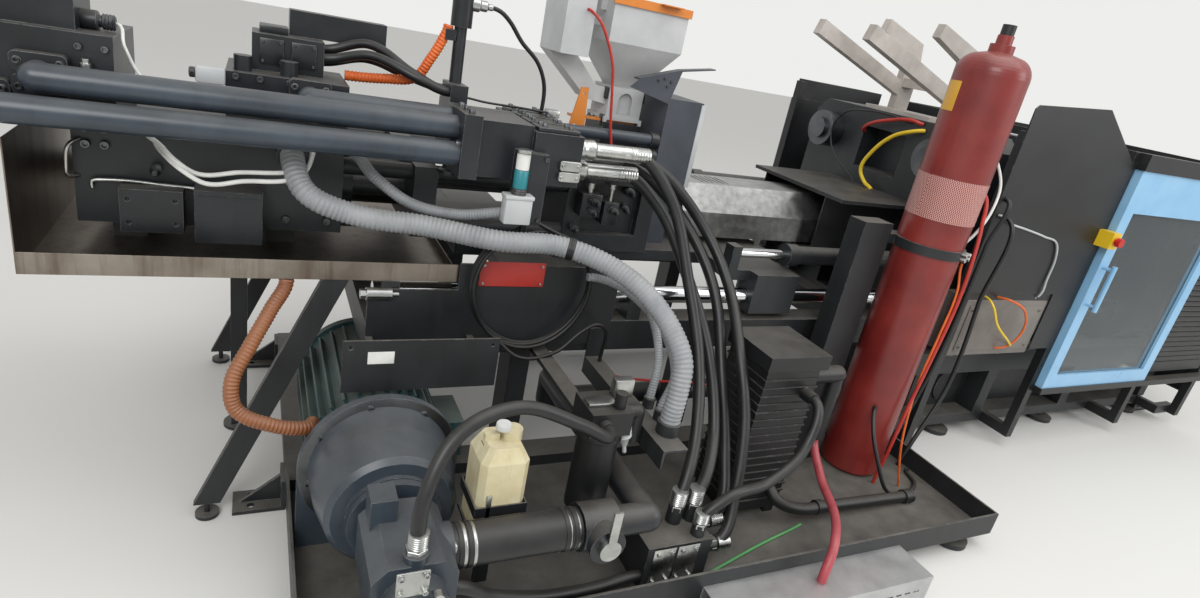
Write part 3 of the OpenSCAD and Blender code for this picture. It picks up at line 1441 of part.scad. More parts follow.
// Slide under the neck, its tongue past the posts and its upright handle
module hopper_gate() color("#c9772e") {
    z0 = gate_z + gap;
    z1 = z0 + gate_t;
    half = 60;
    handle_y = 150;
    slab([hopper_x - half, axis_y - half, z0], [hopper_x + half, axis_y + half, z1]);
    slab([hopper_x - 200, axis_y - half, z0], [hopper_x - half, axis_y - half + 40, z1]);
    slab([hopper_x - 200, handle_y, z0], [hopper_x - 160, axis_y - half + cut, z1]);
    plate_xz(handle_y, handle_y + 8) difference() {
        polygon([
            [hopper_x - 225, gate_z - 57], [hopper_x - 158, gate_z - 57],
            [hopper_x - 167, gate_z + 111], [hopper_x - 194, gate_z + 111]]);
        translate([hopper_x - 200, gate_z - 30]) circle(d = 26);
        translate([hopper_x - 181, gate_z + 90]) circle(d = 9);
    }
}

// Box beside the barrel, and the bracket sheet that rises from its top towards the hopper
module junction_box() color("#55585b") {
    x0 = -865;
    x1 = -715;
    y0 = 60;
    y1 = 275;
    split_z = 1046;
    top = 1366;
    slab([x0, y0, 1015], [x1, y1 - 110, split_z]);
    slab([x0, y0, split_z], [x1, y1, top]);
    slab([x1, y0 + 12, split_z + 14], [x1 + 6, y1 - 12, top - 12]);
    slab([x0 + 40, y0 + 10, carriage_z + carriage_t], [x1 - 40, y0 + 22, 1015]);
    plate_xz(y0, y0 + 4) polygon([[-1030, 1384], [x0, top - 20], [x0 + 30, top + 96], [-1000, 1412]]);
    plate_xz(y0, y0 + 38) polygon([
        [-1000, 1412], [x0 + 30, top + 96], [x1 + 15, top + 120], [x1 + 15, top + 124],
        [x0 + 28, top + 101], [-1002, 1417]]);
}

// Hoses and cables

module pressure_hoses() color("#141516") {
    for (r = pressure_routes) hose(r, hose_d);
}

module conduits() color("#8d9094") {
    hose(conduit_route, conduit_d, 10);
    hose(branch_route, branch_d);
    for (r = thin_routes) hose(r, branch_d - 6);
}

module manifold_hoses() color("#17181a") {
    for (r = manifold_routes) hose(r, manifold_hose_d);
}

module pack_hoses() color("#17181a") {
    for (r = pack_routes) hose(r, pack_hose_d);
    hose(water_route, water_d);
}

module cable_coil() color("#101112") {
    translate([coil_c[0], coil_c[1], coil_c[2]]) rotate([90, 0, 0])
        rotate_extrude() translate([coil_r, 0]) circle(d = coil_d, $fn = 20);
}

module cables() color("#b8452e") {
    for (r = cable_routes) hose(r, cable_d);
}

base_frame();
bed();
floor_fixings();
floor_duct();
guide_rails();
drip_tray();
tray_legs();
fixed_platen();
tie_bars();
cylinder_platen();
moving_platen();
clamp_ram();
ejector_plate();
purge_guard();
guard_covers();
guard_frame();
guard_door();
door_window();
far_door();
operator_panel();
estop_box();
estop_button();
robot_mount();
motor_housing();
motor_rotor();
bell_housing();
pump_body();
suction_hose();
suction_valve();
suction_lever();
oil_filter();
pack_brackets();
oil_can();
oil_cooler();
accumulator_bottle();
accumulator_valve();
carriage_base();
barrel_housing();
barrel();
nozzle();
heater_bands();
barrel_cover();
screw();
crosshead();
injection_cylinders();
valve_blocks();
rigid_tubes();
tube_clamp();
pull_in_cylinders();
pull_in_rods();
hopper();
hopper_lid();
hopper_gate();
junction_box();
pressure_hoses();
conduits();
manifold_hoses();
pack_hoses();
cable_coil();
cables();
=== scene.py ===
import bpy
import numpy as np
from math import pi, radians
from mathutils import Matrix, Vector


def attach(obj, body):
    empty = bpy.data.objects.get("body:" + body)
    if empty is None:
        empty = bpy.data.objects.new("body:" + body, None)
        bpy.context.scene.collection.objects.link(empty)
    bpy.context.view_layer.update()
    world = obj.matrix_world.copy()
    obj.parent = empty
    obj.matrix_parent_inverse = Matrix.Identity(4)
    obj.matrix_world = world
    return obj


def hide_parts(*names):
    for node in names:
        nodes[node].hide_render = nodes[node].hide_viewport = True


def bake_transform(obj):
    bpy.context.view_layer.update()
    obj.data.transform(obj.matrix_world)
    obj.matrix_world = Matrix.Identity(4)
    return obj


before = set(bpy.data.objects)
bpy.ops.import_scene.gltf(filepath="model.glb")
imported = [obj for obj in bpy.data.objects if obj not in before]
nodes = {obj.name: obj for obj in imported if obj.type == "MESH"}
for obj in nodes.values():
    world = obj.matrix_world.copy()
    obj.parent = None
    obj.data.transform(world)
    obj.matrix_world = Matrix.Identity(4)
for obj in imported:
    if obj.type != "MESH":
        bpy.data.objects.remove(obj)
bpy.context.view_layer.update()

mm = 0.001
print("Machine loaded:", len(nodes), "CAD nodes")


# Camera: matched to the straight edges of the base, the rails and the red bottle
viewpoint = {
    "place": (-2.190, -2.170, 1.550),
    "right": (0.89543, -0.40525, 0.18435),
    "up": (-0.00704, 0.40115, 0.91599),
    "back": (-0.44515, -0.82150, 0.35635),
    "lens": 20.88,
    "sensor": 36,
    "farthest": 60,
}
cameraData = bpy.data.cameras.new("camera")
cameraData.lens = viewpoint["lens"]
cameraData.sensor_width = viewpoint["sensor"]
cameraData.clip_end = viewpoint["farthest"]
camera = bpy.data.objects.new("camera", cameraData)
bpy.context.scene.collection.objects.link(camera)
turned = np.eye(4)
turned[:3, 0], turned[:3, 1], turned[:3, 2] = viewpoint["right"], viewpoint["up"], viewpoint["back"]
turned[:3, 3] = viewpoint["place"]
camera.matrix_world = Matrix(turned.tolist())
bpy.context.scene.camera = camera


def unit(v):
    v = np.asarray(v, float)
    return v / np.linalg.norm(v, axis=-1, keepdims=True)


# Points spread evenly along a line of points
def spreadEvenly(line, step):
    reach = np.concatenate([[0], np.cumsum(np.linalg.norm(np.diff(line, axis=0), axis=1))])
    s = np.linspace(0, reach[-1], max(int(reach[-1] / step), 12) + 1)
    return np.stack([np.interp(s, reach, line[:, k]) for k in range(3)], 1)


def lengthOf(line):
    return float(np.linalg.norm(np.diff(line, axis=0), axis=1).sum())


# Cubic Hermite curve through a route in mm: [start heading, end heading, points].
# Each inner heading halves the angle between the two chords that meet there.
def smoothRoute(route, step=0.008):
    first, last, points = route
    p = np.array(points, float) * mm
    chord = np.linalg.norm(np.diff(p, axis=0), axis=1)
    way = unit(np.diff(p, axis=0))
    slope = np.concatenate([[unit(first)], unit(way[1:] + way[:-1]), [unit(last)]])
    knots = np.concatenate([[0], np.cumsum(chord)])
    s = np.linspace(0, knots[-1], 60 * len(p))
    i = np.clip(np.searchsorted(knots, s, side="right") - 1, 0, len(chord) - 1)
    h = chord[i][:, None]
    t = ((s - knots[i])[:, None]) / h
    line = ((2 * t**3 - 3 * t**2 + 1) * p[i] + (t**3 - 2 * t**2 + t) * h * slope[i]
            + (3 * t**2 - 2 * t**3) * p[i + 1] + (t**3 - t**2) * h * slope[i + 1])
    return spreadEvenly(line, step)


# Ring of radius r carried along a line: centre + r (cos a U + sin a V), U and V square to the line
def tube(line, radius, sides=18):
    t = unit(np.gradient(line, axis=0))
    u = unit(np.cross(t, [0, 1, -1]))
    v = np.cross(t, u)
    a = np.arange(sides) * 2 * pi / sides
    r = np.broadcast_to(radius, len(line))[:, None, None]
    return line[:, None] + r * (np.cos(a)[None, :, None] * u[:, None] + np.sin(a)[None, :, None] * v[:, None])


# Axes square to a direction: two across it and the direction itself
def axesOf(along, up=None):
    w = unit(along)
    helper = up if up is not None else ((0, 0, 1) if abs(w[2]) < 0.9 else (1, 0, 0))
    u = unit(np.cross(helper, w))
    return u, np.cross(w, u), w


# Profile of (radius, height) pairs in mm turned about a direction: centre + h W + r (cos a U + sin a V)
def turnedRings(profile, centre, along, sides=32, up=None):
    u, v, w = axesOf(along, up)
    p = np.array(profile, float) * mm
    a = np.arange(sides) * 2 * pi / sides
    ring = np.cos(a)[:, None] * u + np.sin(a)[:, None] * v
    return np.array(centre, float) * mm + p[:, 1][:, None, None] * w + p[:, 0][:, None, None] * ring


# Flat outline in mm carried along a direction, at stations of (height, inset from the outline)
def carriedRings(outline, stations, centre, along, up=None):
    u, v, w = axesOf(along, up)
    o = np.array(outline, float)
    before, after = unit(o - np.roll(o, 1, 0)), unit(np.roll(o, -1, 0) - o)
    square = np.stack([after[:, 1] + before[:, 1], -after[:, 0] - before[:, 0]], 1)
    square = square / np.maximum((square * square).sum(1, keepdims=True) / 2, 0.3)
    st = np.array(stations, float)
    flat = (o[None] - st[:, 1][:, None, None] * square[None]) * mm
    return (np.array(centre, float) * mm + st[:, 0][:, None, None] * mm * w
            + flat[..., :1] * u + flat[..., 1:] * v)


# Rectangle with round corners, run anticlockwise
def roundRect(w, h, r, steps=4):
    a = np.linspace(0, pi / 2, steps + 1)
    corner = np.stack([np.cos(a), np.sin(a)], 1) * r
    turn = lambda k: np.array([[np.cos(k), np.sin(k)], [-np.sin(k), np.cos(k)]])
    middle = np.array([[w / 2 - r, h / 2 - r], [r - w / 2, h / 2 - r], [r - w / 2, r - h / 2],
                       [w / 2 - r, r - h / 2]])
    return np.concatenate([corner @ turn(k * pi / 2) + middle[k] for k in range(4)])


# Block with rounded long edges and bevelled ends between two corners in mm
def block(lo, hi, edge=2.0, along=2):
    lo, hi = np.array(lo, float), np.array(hi, float)
    size, middle = hi - lo, (lo + hi) / 2
    axis, up = np.eye(3)[along], np.eye(3)[(along + 2) % 3]
    u, v, w = axesOf(axis, up)
    wide, tall, long = abs(size @ u), abs(size @ v), size[along]
    edge = min(edge, wide / 2.2, tall / 2.2, long / 2.2)
    stations = [(-long / 2, edge), (-long / 2 + edge * 0.3, edge * 0.3), (-long / 2 + edge, 0),
                (long / 2 - edge, 0), (long / 2 - edge * 0.3, edge * 0.3), (long / 2, edge)]
    return carriedRings(roundRect(wide, tall, edge * 1.2, 2), stations, middle, axis, up)


def meshOf(name, lofts, material, crease=35):
    points, faces, start = [], [], 0
    for rings in lofts:
        n, m = rings.shape[:2]
        k = np.arange(m)
        a = np.arange(n - 1)[:, None] * m + k
        b = np.arange(n - 1)[:, None] * m + (k + 1) % m
        faces += (np.stack([a, b, b + m, a + m], -1).reshape(-1, 4) + start).tolist()
        faces += [(k[::-1] + start).tolist(), (k + (n - 1) * m + start).tolist()]
        points.append(rings.reshape(-1, 3))
        start += n * m
    mesh = bpy.data.meshes.new(name)
    mesh.from_pydata(np.concatenate(points).tolist(), [], faces)
    mesh.polygons.foreach_set("use_smooth", np.ones(len(mesh.polygons), bool))
    mesh.set_sharp_from_angle(angle=radians(crease))
    mesh.materials.append(material)
    mesh.update()
    piece = bpy.data.objects.new(name, mesh)
    bpy.context.scene.collection.objects.link(piece)
    return piece


def fit(name, lofts, material, body, replaces=()):
    piece = meshOf(name, lofts, material)
    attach(piece, body)
    if replaces:
        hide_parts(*replaces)
    return piece


# An sRGB hex value as linear light
def linear(code):
    c = np.array([int(code[i:i + 2], 16) for i in (0, 2, 4)]) / 255
    return (*np.where(c <= 0.04045, c / 12.92, ((c + 0.055) / 1.055) ** 2.4), 1.0)


def add(tree, kind, settings=None, links=None):
    node = tree.nodes.new("ShaderNode" + kind)
    for key, value in (settings or {}).items():
        if isinstance(key, str) and hasattr(node, key):
            setattr(node, key, value)
        else:
            node.inputs[key].default_value = value
    for key, socket in (links or {}).items():
        tree.links.new(socket, node.inputs[key])
    return node


# A finish in layers: two close colours in soft patches, fine grain, dust on what faces up,
# runs of oil down the sides, and bright metal where the edges are rubbed
def finish(name, colours, rough, metal=0.0, patch=180, grain=1.5, bump=0.04, dust=0.0, dustHex="8b867c",
           runs=0.0, runsHex="14110e", wear=0.0, wearHex="8d8f90", brushed=None, coat=0.0, edge=1.5, spread=0.08):
    m = bpy.data.materials.new(name)
    m.use_nodes = True
    tree = m.node_tree
    tree.nodes.clear()
    place = add(tree, "TexCoord").outputs["Object"]
    patches = add(tree, "TexNoise", {"Scale": 1000 / patch, "Detail": 6, "Roughness": 0.62}, {"Vector": place})
    even = add(tree, "MapRange", {"From Min": 0.35, "From Max": 0.65}, {"Value": patches.outputs["Fac"]})
    colour = add(tree, "Mix", {"data_type": "RGBA", 6: linear(colours[0]), 7: linear(colours[1])},
                 {0: even.outputs["Result"]}).outputs[2]
    stretched = place
    if brushed:
        stretched = add(tree, "Mapping", {"Scale": brushed}, {"Vector": place}).outputs["Vector"]
    fine = add(tree, "TexNoise", {"Scale": 1000 / grain, "Detail": 3}, {"Vector": stretched})
    gloss = add(tree, "MapRange", {"To Min": max(rough - spread, 0.03), "To Max": min(rough + spread, 1)},
                {"Value": patches.outputs["Fac"]})
    roughness = gloss.outputs["Result"]
    facing = add(tree, "NewGeometry")
    rounded = add(tree, "Bevel", {"samples": 4, "Radius": edge * mm})
    if runs:
        drawn = add(tree, "Mapping", {"Scale": (14, 14, 1.1)}, {"Vector": place})
        lines = add(tree, "TexNoise", {"Scale": 1.6, "Detail": 4, "Roughness": 0.7},
                    {"Vector": drawn.outputs["Vector"]})
        some = add(tree, "MapRange", {"From Min": 0.5, "From Max": 0.72, "To Max": runs},
                   {"Value": lines.outputs["Fac"]})
        colour = add(tree, "Mix", {"data_type": "RGBA", 7: linear(runsHex)},
                     {0: some.outputs["Result"], 6: colour}).outputs[2]
    if dust:
        upward = add(tree, "SeparateXYZ", {}, {"Vector": facing.outputs["Normal"]})
        lying = add(tree, "MapRange", {"From Min": 0.25, "From Max": 1.0, "To Max": dust},
                    {"Value": upward.outputs["Z"]})
        broken = add(tree, "TexNoise", {"Scale": 9, "Detail": 7, "Roughness": 0.7}, {"Vector": place})
        thick = add(tree, "Math", {"operation": "MULTIPLY"}, {0: lying.outputs["Result"], 1: broken.outputs["Fac"]})
        colour = add(tree, "Mix", {"data_type": "RGBA", 7: linear(dustHex)},
                     {0: thick.outputs["Value"], 6: colour}).outputs[2]
        roughness = add(tree, "Mix", {3: 0.85}, {0: thick.outputs["Value"], 2: roughness}).outputs[0]
    shader = add(tree, "BsdfPrincipled", {"Metallic": metal, "Coat Weight": coat, "Coat Roughness": 0.12})
    if wear:
        along = add(tree, "VectorMath", {"operation": "DOT_PRODUCT"},
                    {0: rounded.outputs["Normal"], 1: facing.outputs["Normal"]})
        edges = add(tree, "MapRange", {"From Min": 0.995, "From Max": 0.9, "To Max": 1.0},
                    {"Value": along.outputs["Value"]})
        rubbed = add(tree, "TexNoise", {"Scale": 34, "Detail": 5, "Roughness": 0.75}, {"Vector": place})
        gate = add(tree, "MapRange", {"From Min": 0.62 - wear * 0.3, "From Max": 0.7 - wear * 0.3},
                   {"Value": rubbed.outputs["Fac"]})
        mask = add(tree, "Math", {"operation": "MULTIPLY"}, {0: edges.outputs["Result"], 1: gate.outputs["Result"]})
        colour = add(tree, "Mix", {"data_type": "RGBA", 7: linear(wearHex)},
                     {0: mask.outputs["Value"], 6: colour}).outputs[2]
    relief = add(tree, "Bump", {"Strength": 0.5, "Distance": bump * mm},
                 {"Height": fine.outputs["Fac"], "Normal": rounded.outputs["Normal"]})
    tree.links.new(colour, shader.inputs["Base Color"])
    tree.links.new(roughness, shader.inputs["Roughness"])
    tree.links.new(relief.outputs["Normal"], shader.inputs["Normal"])
    add(tree, "OutputMaterial", {}, {"Surface": shader.outputs["BSDF"]})
    return m


# Anthracite enamel sprayed over rough cast iron: dull gloss, orange peel, dust and oil on it
castPaint = finish("anthraciteCastPaint", ("1d2023", "2a2d30"), 0.42, grain=3, bump=0.25, dust=0.5, runs=0.35,
                   wear=0.5)
# Machined manifold blocks in black oxide and thin paint: darker and smoother than the castings
blockPaint = finish("blackManifoldPaint", ("15171a", "24272b"), 0.34, grain=2, bump=0.1, dust=0.45, runs=0.25,
                    wear=0.7)
# Powder coat on welded beams: satin, dusty where it faces up, with oil runs
beamPaint = finish("beamPowderCoat", ("1c1e20", "26282a"), 0.46, grain=1.2, bump=0.08, dust=0.7, runs=0.5, wear=0.45)
# Black powder coat on folded sheet: finer and more even than on the beams
sheetPaint = finish("blackSheetPowderCoat", ("131415", "1c1d1f"), 0.40, grain=0.9, bump=0.05, dust=0.4, wear=0.3)
# Smooth blue grey enamel on the pump set and the rigid tubes: half gloss
pumpPaint = finish("blueGreyEnamel", ("2f373f", "3c454e"), 0.30, grain=4, bump=0.2, dust=0.35, runs=0.2, wear=0.4)
# Dark teal enamel on the ribbed motor
motorPaint = finish("tealMotorEnamel", ("1e3a3b", "2b4c4c"), 0.42, grain=3, bump=0.2, dust=0.6, runs=0.3, wear=0.3)
# Stainless sheet, brushed along X: long fine scratches and brown oil stains
stainless = finish("brushedStainless", ("7d746a", "9c948a"), 0.34, metal=1.0, grain=0.8, bump=0.03,
                   brushed=(0.04, 1, 1), runs=0.55, runsHex="4c3424", dust=0.25, spread=0.12)
# Hard chrome on ground rods: mirror-like with faint oil film
chrome = finish("hardChrome", ("c9ccce", "dadcde"), 0.12, metal=1.0, grain=0.6, bump=0.01, brushed=(0.05, 1, 1),
                spread=0.06)
# Mill finish aluminium sheet: pale, soft reflections, scuffed
aluminium = finish("millAluminium", ("b4b6b7", "cfd0d0"), 0.42, metal=1.0, grain=0.7, bump=0.03, brushed=(0.05, 1, 1),
                   dust=0.35, dustHex="a8a49b", spread=0.12)
# Pale grey brown lacquer on the robot mount's arms
mountPaint = finish("mountGreyLacquer", ("9b948d", "b3ada6"), 0.40, patch=120, grain=1.2, bump=0.05, dust=0.35,
                    wear=0.3)
# Zinc coated sheet of the barrel hood: dull spangle and handling marks
galvanised = finish("galvanisedSheet", ("9b9d9c", "bcbebc"), 0.40, metal=1.0, patch=28, grain=1.0, bump=0.03,
                    dust=0.35, dustHex="97928a", spread=0.12)
# Bright zinc on fittings and hydraulic ends
fittingZinc = finish("brightZinc", ("a9aba9", "c6c7c3"), 0.28, metal=1.0, patch=60, grain=1.0, bump=0.03, dust=0.2)
# Turned and tempered steel of the barrel, nozzle and rotor
turnedSteel = finish("turnedSteel", ("55585a", "76797b"), 0.36, metal=1.0, grain=0.7, bump=0.04,
                     brushed=(1, 0.1, 0.1))
# Heater bands: straw and blue heat tint on stainless
bandSteel = finish("heatTintedSteel", ("8a7457", "6f7480"), 0.38, metal=1.0, patch=90, grain=1.0, bump=0.04, dust=0.2)
# Light blue lacquer of the sliding doors
doorBlue = finish("doorBlueLacquer", ("7fb1d6", "8dbbdc"), 0.30, grain=1.0, bump=0.03, dust=0.2, dustHex="b9bdbf",
                  coat=0.2)
# Yellow moulded plastic of the stop box
stopYellow = finish("yellowPolyamide", ("d8b21c", "e3bf2a"), 0.42, grain=0.8, bump=0.04, dust=0.2)
# Red moulded button
stopRed = finish("redButtonPlastic", ("b51f1a", "c22a22"), 0.32, grain=0.8, bump=0.02)
# Worn red enamel of the gas bottle: faded, scuffed, with pale rub marks
bottleRed = finish("bottleRedEnamel", ("6a1d1a", "842b25"), 0.38, patch=240, grain=2.5, bump=0.12, dust=0.3,
                   runs=0.25,
                   runsHex="4a1512", wear=0.4, wearHex="a9857e", coat=0.15)
# Natural polyethylene gone yellow with oil and light
canPlastic = finish("yellowedPolyethylene", ("cfc39a", "ded5b3"), 0.48, patch=70, grain=2.0, bump=0.15, dust=0.3,
                    runs=0.3,
                    runsHex="8d7434")
# Grey enamel of the hopper sheets
hopperPaint = finish("hopperGreyEnamel", ("aeb0b1", "bfc0c0"), 0.38, grain=1.0, bump=0.04, dust=0.3, wear=0.2)
# Orange powder coat of the hopper's trim
trimOrange = finish("orangePowderCoat", ("c8752b", "d6863a"), 0.40, grain=1.0, bump=0.05, dust=0.3, wear=0.3)
# Dark grey enamel of the junction box
boxPaint = finish("slateBoxEnamel", ("363b42", "454a52"), 0.42, grain=1.0, bump=0.05, dust=0.4, wear=0.2)
# Moulded black rubber of the wrapped hoses: fine cloth print, oily sheen
rubber = finish("wrappedRubber", ("141516", "1f2021"), 0.38, patch=60, grain=1.6, bump=0.15, dust=0.35,
                dustHex="6d6a64")
# Grey polyvinyl over a steel spiral
conduitGrey = finish("greyConduitPlastic", ("84878a", "95989a"), 0.46, patch=90, grain=1.2, bump=0.05, dust=0.4,
                     runs=0.2,
                     runsHex="4f4a44")
# Soft black cable sheath
cableBlack = finish("blackCableSheath", ("0f1011", "1a1b1c"), 0.42, patch=60, grain=1.0, bump=0.05, dust=0.25)
wireRed = finish("redWireSheath", ("a2271f", "b8352b"), 0.42, grain=1.0, bump=0.03, patch=60)
wireOrange = finish("orangeWireSheath", ("c8571c", "d8692a"), 0.42, grain=1.0, bump=0.03, patch=60)
wireYellow = finish("yellowWireSheath", ("d9b51e", "e2c53a"), 0.42, grain=1.0, bump=0.03, patch=60)
wireWhite = finish("whiteWireSheath", ("c9cac6", "dcdcd8"), 0.45, grain=1.0, bump=0.03, patch=60)
waterPink = finish("redWaterHose", ("9c3942", "b14c55"), 0.36, grain=1.2, bump=0.05, patch=70, dust=0.2)
blackPlastic = finish("blackMouldedPlastic", ("121314", "1c1d1e"), 0.44, grain=0.8, bump=0.05, dust=0.3)

# Teal moulded plastic under the sight glass
tealPlastic = finish("tealMouldedPlastic", ("1f6f78", "2c8088"), 0.30, grain=0.8, bump=0.03, dust=0.2)
# Light grey polyester housings of gauges and sensors
boxGrey = finish("lightGreyHousing", ("a9adae", "bbbebe"), 0.44, grain=0.9, bump=0.04, dust=0.35)
# Warm grey enamel of the terminal box
warmGrey = finish("warmGreyEnamel", ("5f5a55", "736d67"), 0.42, grain=1.0, bump=0.05, dust=0.4, wear=0.3)
# Bare red sign sheet
signRed = finish("redSignSheet", ("a52a24", "b5362e"), 0.36, grain=1.0, bump=0.03, dust=0.2)
# Green lacquer on a thin rod
greenLacquer = finish("greenRodLacquer", ("3f8a4a", "4f9a58"), 0.40, grain=1.0, bump=0.03, dust=0.2)
# Bare yellow sign sheet
plateYellow = finish("yellowSignSheet", ("d29a24", "dba838"), 0.40, grain=1.0, bump=0.03, dust=0.2)
# Orange brown rubber of the drain hose
hoseBrown = finish("brownDrainRubber", ("7c4a2c", "8f5a38"), 0.42, grain=1.4, bump=0.08, dust=0.3)
sheaths = {"cableBlack": cableBlack, "wireRed": wireRed, "wireOrange": wireOrange, "wireYellow": wireYellow,
           "wireWhite": wireWhite, "boxGrey": boxGrey, "hoseBrown": hoseBrown}

# Woven net sleeve on the bottle: a thread runs where the sine of (angle times radius, plus or minus 0.6 of the height)
# comes near nought, and red shows between the threads.
net = {"axis": (-0.065, 0.450, 0), "radius": 0.120, "slope": 0.6, "spacing": 0.0075, "thread": (0.5, 0.3),
       "hex": "d3a79f"}
netSleeve = finish("plasticNetSleeve", ("6a1d1a", "842b25"), 0.40, grain=1.0, bump=0.05, dust=0.2)
netTree = netSleeve.node_tree
netShader = next(n for n in netTree.nodes if n.type == "BSDF_PRINCIPLED")
netPlace = add(netTree, "Mapping", {"Location": net["axis"]}, {"Vector": add(netTree, "TexCoord").outputs["Object"]})
netAxes = add(netTree, "SeparateXYZ", {}, {"Vector": netPlace.outputs["Vector"]})
netAngle = add(netTree, "Math", {"operation": "ARCTAN2"}, {0: netAxes.outputs["Y"], 1: netAxes.outputs["X"]})
netRound = add(netTree, "Math", {"operation": "MULTIPLY", 1: net["radius"]}, {0: netAngle.outputs["Value"]})
netTall = add(netTree, "Math", {"operation": "MULTIPLY", 1: net["slope"]}, {0: netAxes.outputs["Z"]})
threads = []
for sign in ("ADD", "SUBTRACT"):
    across = add(netTree, "Math", {"operation": sign}, {0: netRound.outputs["Value"], 1: netTall.outputs["Value"]})
    turns = add(netTree, "Math", {"operation": "MULTIPLY", 1: pi / net["spacing"]}, {0: across.outputs["Value"]})
    wave = add(netTree, "Math", {"operation": "SINE"}, {0: turns.outputs["Value"]})
    threads.append(add(netTree, "Math", {"operation": "ABSOLUTE"}, {0: wave.outputs["Value"]}))
nearest = add(netTree, "Math", {"operation": "MINIMUM"},
              {0: threads[0].outputs["Value"], 1: threads[1].outputs["Value"]})
netMask = add(netTree, "MapRange", {"From Min": net["thread"][0], "From Max": net["thread"][1]},
              {"Value": nearest.outputs["Value"]})
netBase = netShader.inputs["Base Color"].links[0].from_socket
netColour = add(netTree, "Mix", {"data_type": "RGBA", 7: linear(net["hex"])},
                {0: netMask.outputs["Result"], 6: netBase})
netTree.links.new(netColour.outputs[2], netShader.inputs["Base Color"])

# Clear polycarbonate pane: slightly grey, seen through
pane = bpy.data.materials.new("clearPolycarbonate")
pane.use_nodes = True
paneTree = pane.node_tree
paneShader = paneTree.nodes["Principled BSDF"]
paneShader.inputs["Base Color"].default_value = linear("dfe8ec")
paneShader.inputs["Transmission Weight"].default_value = 0.95
paneShader.inputs["IOR"].default_value = 1.2
paneSmears = add(paneTree, "TexNoise", {"Scale": 6, "Detail": 6},
                 {"Vector": add(paneTree, "TexCoord").outputs["Object"]})
paneRough = add(paneTree, "MapRange", {"To Min": 0.02, "To Max": 0.16}, {"Value": paneSmears.outputs["Fac"]})
paneTree.links.new(paneRough.outputs["Result"], paneShader.inputs["Roughness"])

finishOf = {
    castPaint: ["fixed_platen", "moving_platen", "cylinder_platen", "carriage_base", "barrel_housing", "crosshead",
                "pull_in_cylinders", "injection_cylinders"],
    blockPaint: ["valve_blocks", "tube_clamp", "suction_valve"],
    beamPaint: ["base_frame", "bed", "tray_legs", "pack_brackets", "floor_fixings"],
    sheetPaint: ["purge_guard", "guard_covers", "guard_frame", "operator_panel", "oil_cooler"],
    pumpPaint: ["bell_housing", "pump_body", "rigid_tubes"],
    motorPaint: ["motor_housing"],
    stainless: ["drip_tray"],
    chrome: ["guide_rails", "clamp_ram", "pull_in_rods"],
    aluminium: ["floor_duct"],
    mountPaint: ["robot_mount"],
    galvanised: ["barrel_cover"],
    turnedSteel: ["barrel", "nozzle", "motor_rotor", "ejector_plate", "screw", "tie_bars"],
    bandSteel: ["heater_bands"],
    doorBlue: ["guard_door", "far_door"],
    pane: ["door_window"],
    stopYellow: ["estop_box"],
    stopRed: ["estop_button"],
    bottleRed: ["accumulator_bottle"],
    blackPlastic: ["accumulator_valve", "oil_filter"],
    fittingZinc: ["suction_lever"],
    canPlastic: ["oil_can"],
    hopperPaint: ["hopper"],
    trimOrange: ["hopper_lid", "hopper_gate"],
    boxPaint: ["junction_box"],
    rubber: ["suction_hose"],
}
for material, names in finishOf.items():
    for name in names:
        for place in range(len(nodes[name].data.materials)):
            nodes[name].data.materials[place] = material
print("Finishes given:", sum(len(n) for n in finishOf.values()), "nodes")


pressureHoses = {
    "diameter": 0.038,
    "routes": [
        [[1, 0, 0], [-1, 0, 0], [[-1130, -150, 1190], [-980, -165, 1150], [-820, -230, 1010], [-745, -370, 840],
            [-770, -570, 650], [-775, -680, 470], [-820, -780, 260], [-860, -825, 165], [-900, -830, 140]]],
        [[1, 0, 0], [0, 0, -1], [[-1150, -230, 1140], [-1020, -260, 1060], [-920, -380, 860], [-860, -520, 640],
            [-870, -660, 430], [-940, -760, 340], [-985, -790, 280]]],
        [[1, 0, 0], [-1, 0, 0], [[-1120, -80, 1160], [-980, -120, 1110], [-840, -230, 960], [-780, -360, 800],
            [-790, -530, 560], [-800, -660, 340], [-840, -750, 210], [-900, -770, 180]]],
        [[1, 0, 0], [0, 0, -1], [[-1140, -270, 1210], [-1020, -320, 1110], [-950, -440, 860], [-930, -570, 640],
            [-970, -700, 450], [-1020, -770, 350], [-1045, -790, 280]]],
    ],
}
conduitHoses = {
    "mainDiameter": 0.062,
    "main": [[0, -1, 0], [0, 0, -1], [[-2100, -130, 1080], [-2070, -230, 1010], [-1960, -250, 965],
                                      [-1760, -280, 950],
        [-1560, -370, 945], [-1400, -385, 945], [-1280, -450, 925], [-1185, -550, 880], [-1125, -650, 805],
        [-1100, -715, 725], [-1108, -740, 640], [-1115, -745, 550]]],
    "thinDiameter": 0.028,
    "thin": [
        [[1, 0, 0], [0, 0, -1], [[-1270, -340, 880], [-1180, -390, 870], [-1110, -500, 790], [-1085, -575, 660],
                                 [-1105, -605, 545]]],
        [[1, 0, 0], [0, 0, -1], [[-1250, -325, 825], [-1160, -370, 815], [-1070, -530, 740], [-1060, -640, 640],
                                 [-1105, -675, 545]]],
    ],
    "branchDiameter": 0.034,
    "branch": [[1, 0, 0], [1, 0, 0], [[-1960, -40, 1092], [-1880, -150, 1040], [-1790, -200, 990], [-1660, -250, 980],
        [-1530, -300, 1010]]],
    "mainRib": (0.0125, 0.0025),  # pitch, depth
    "branchRib": (0.008, 0.0018),
    "thinRib": (0.008, 0.0016),
}
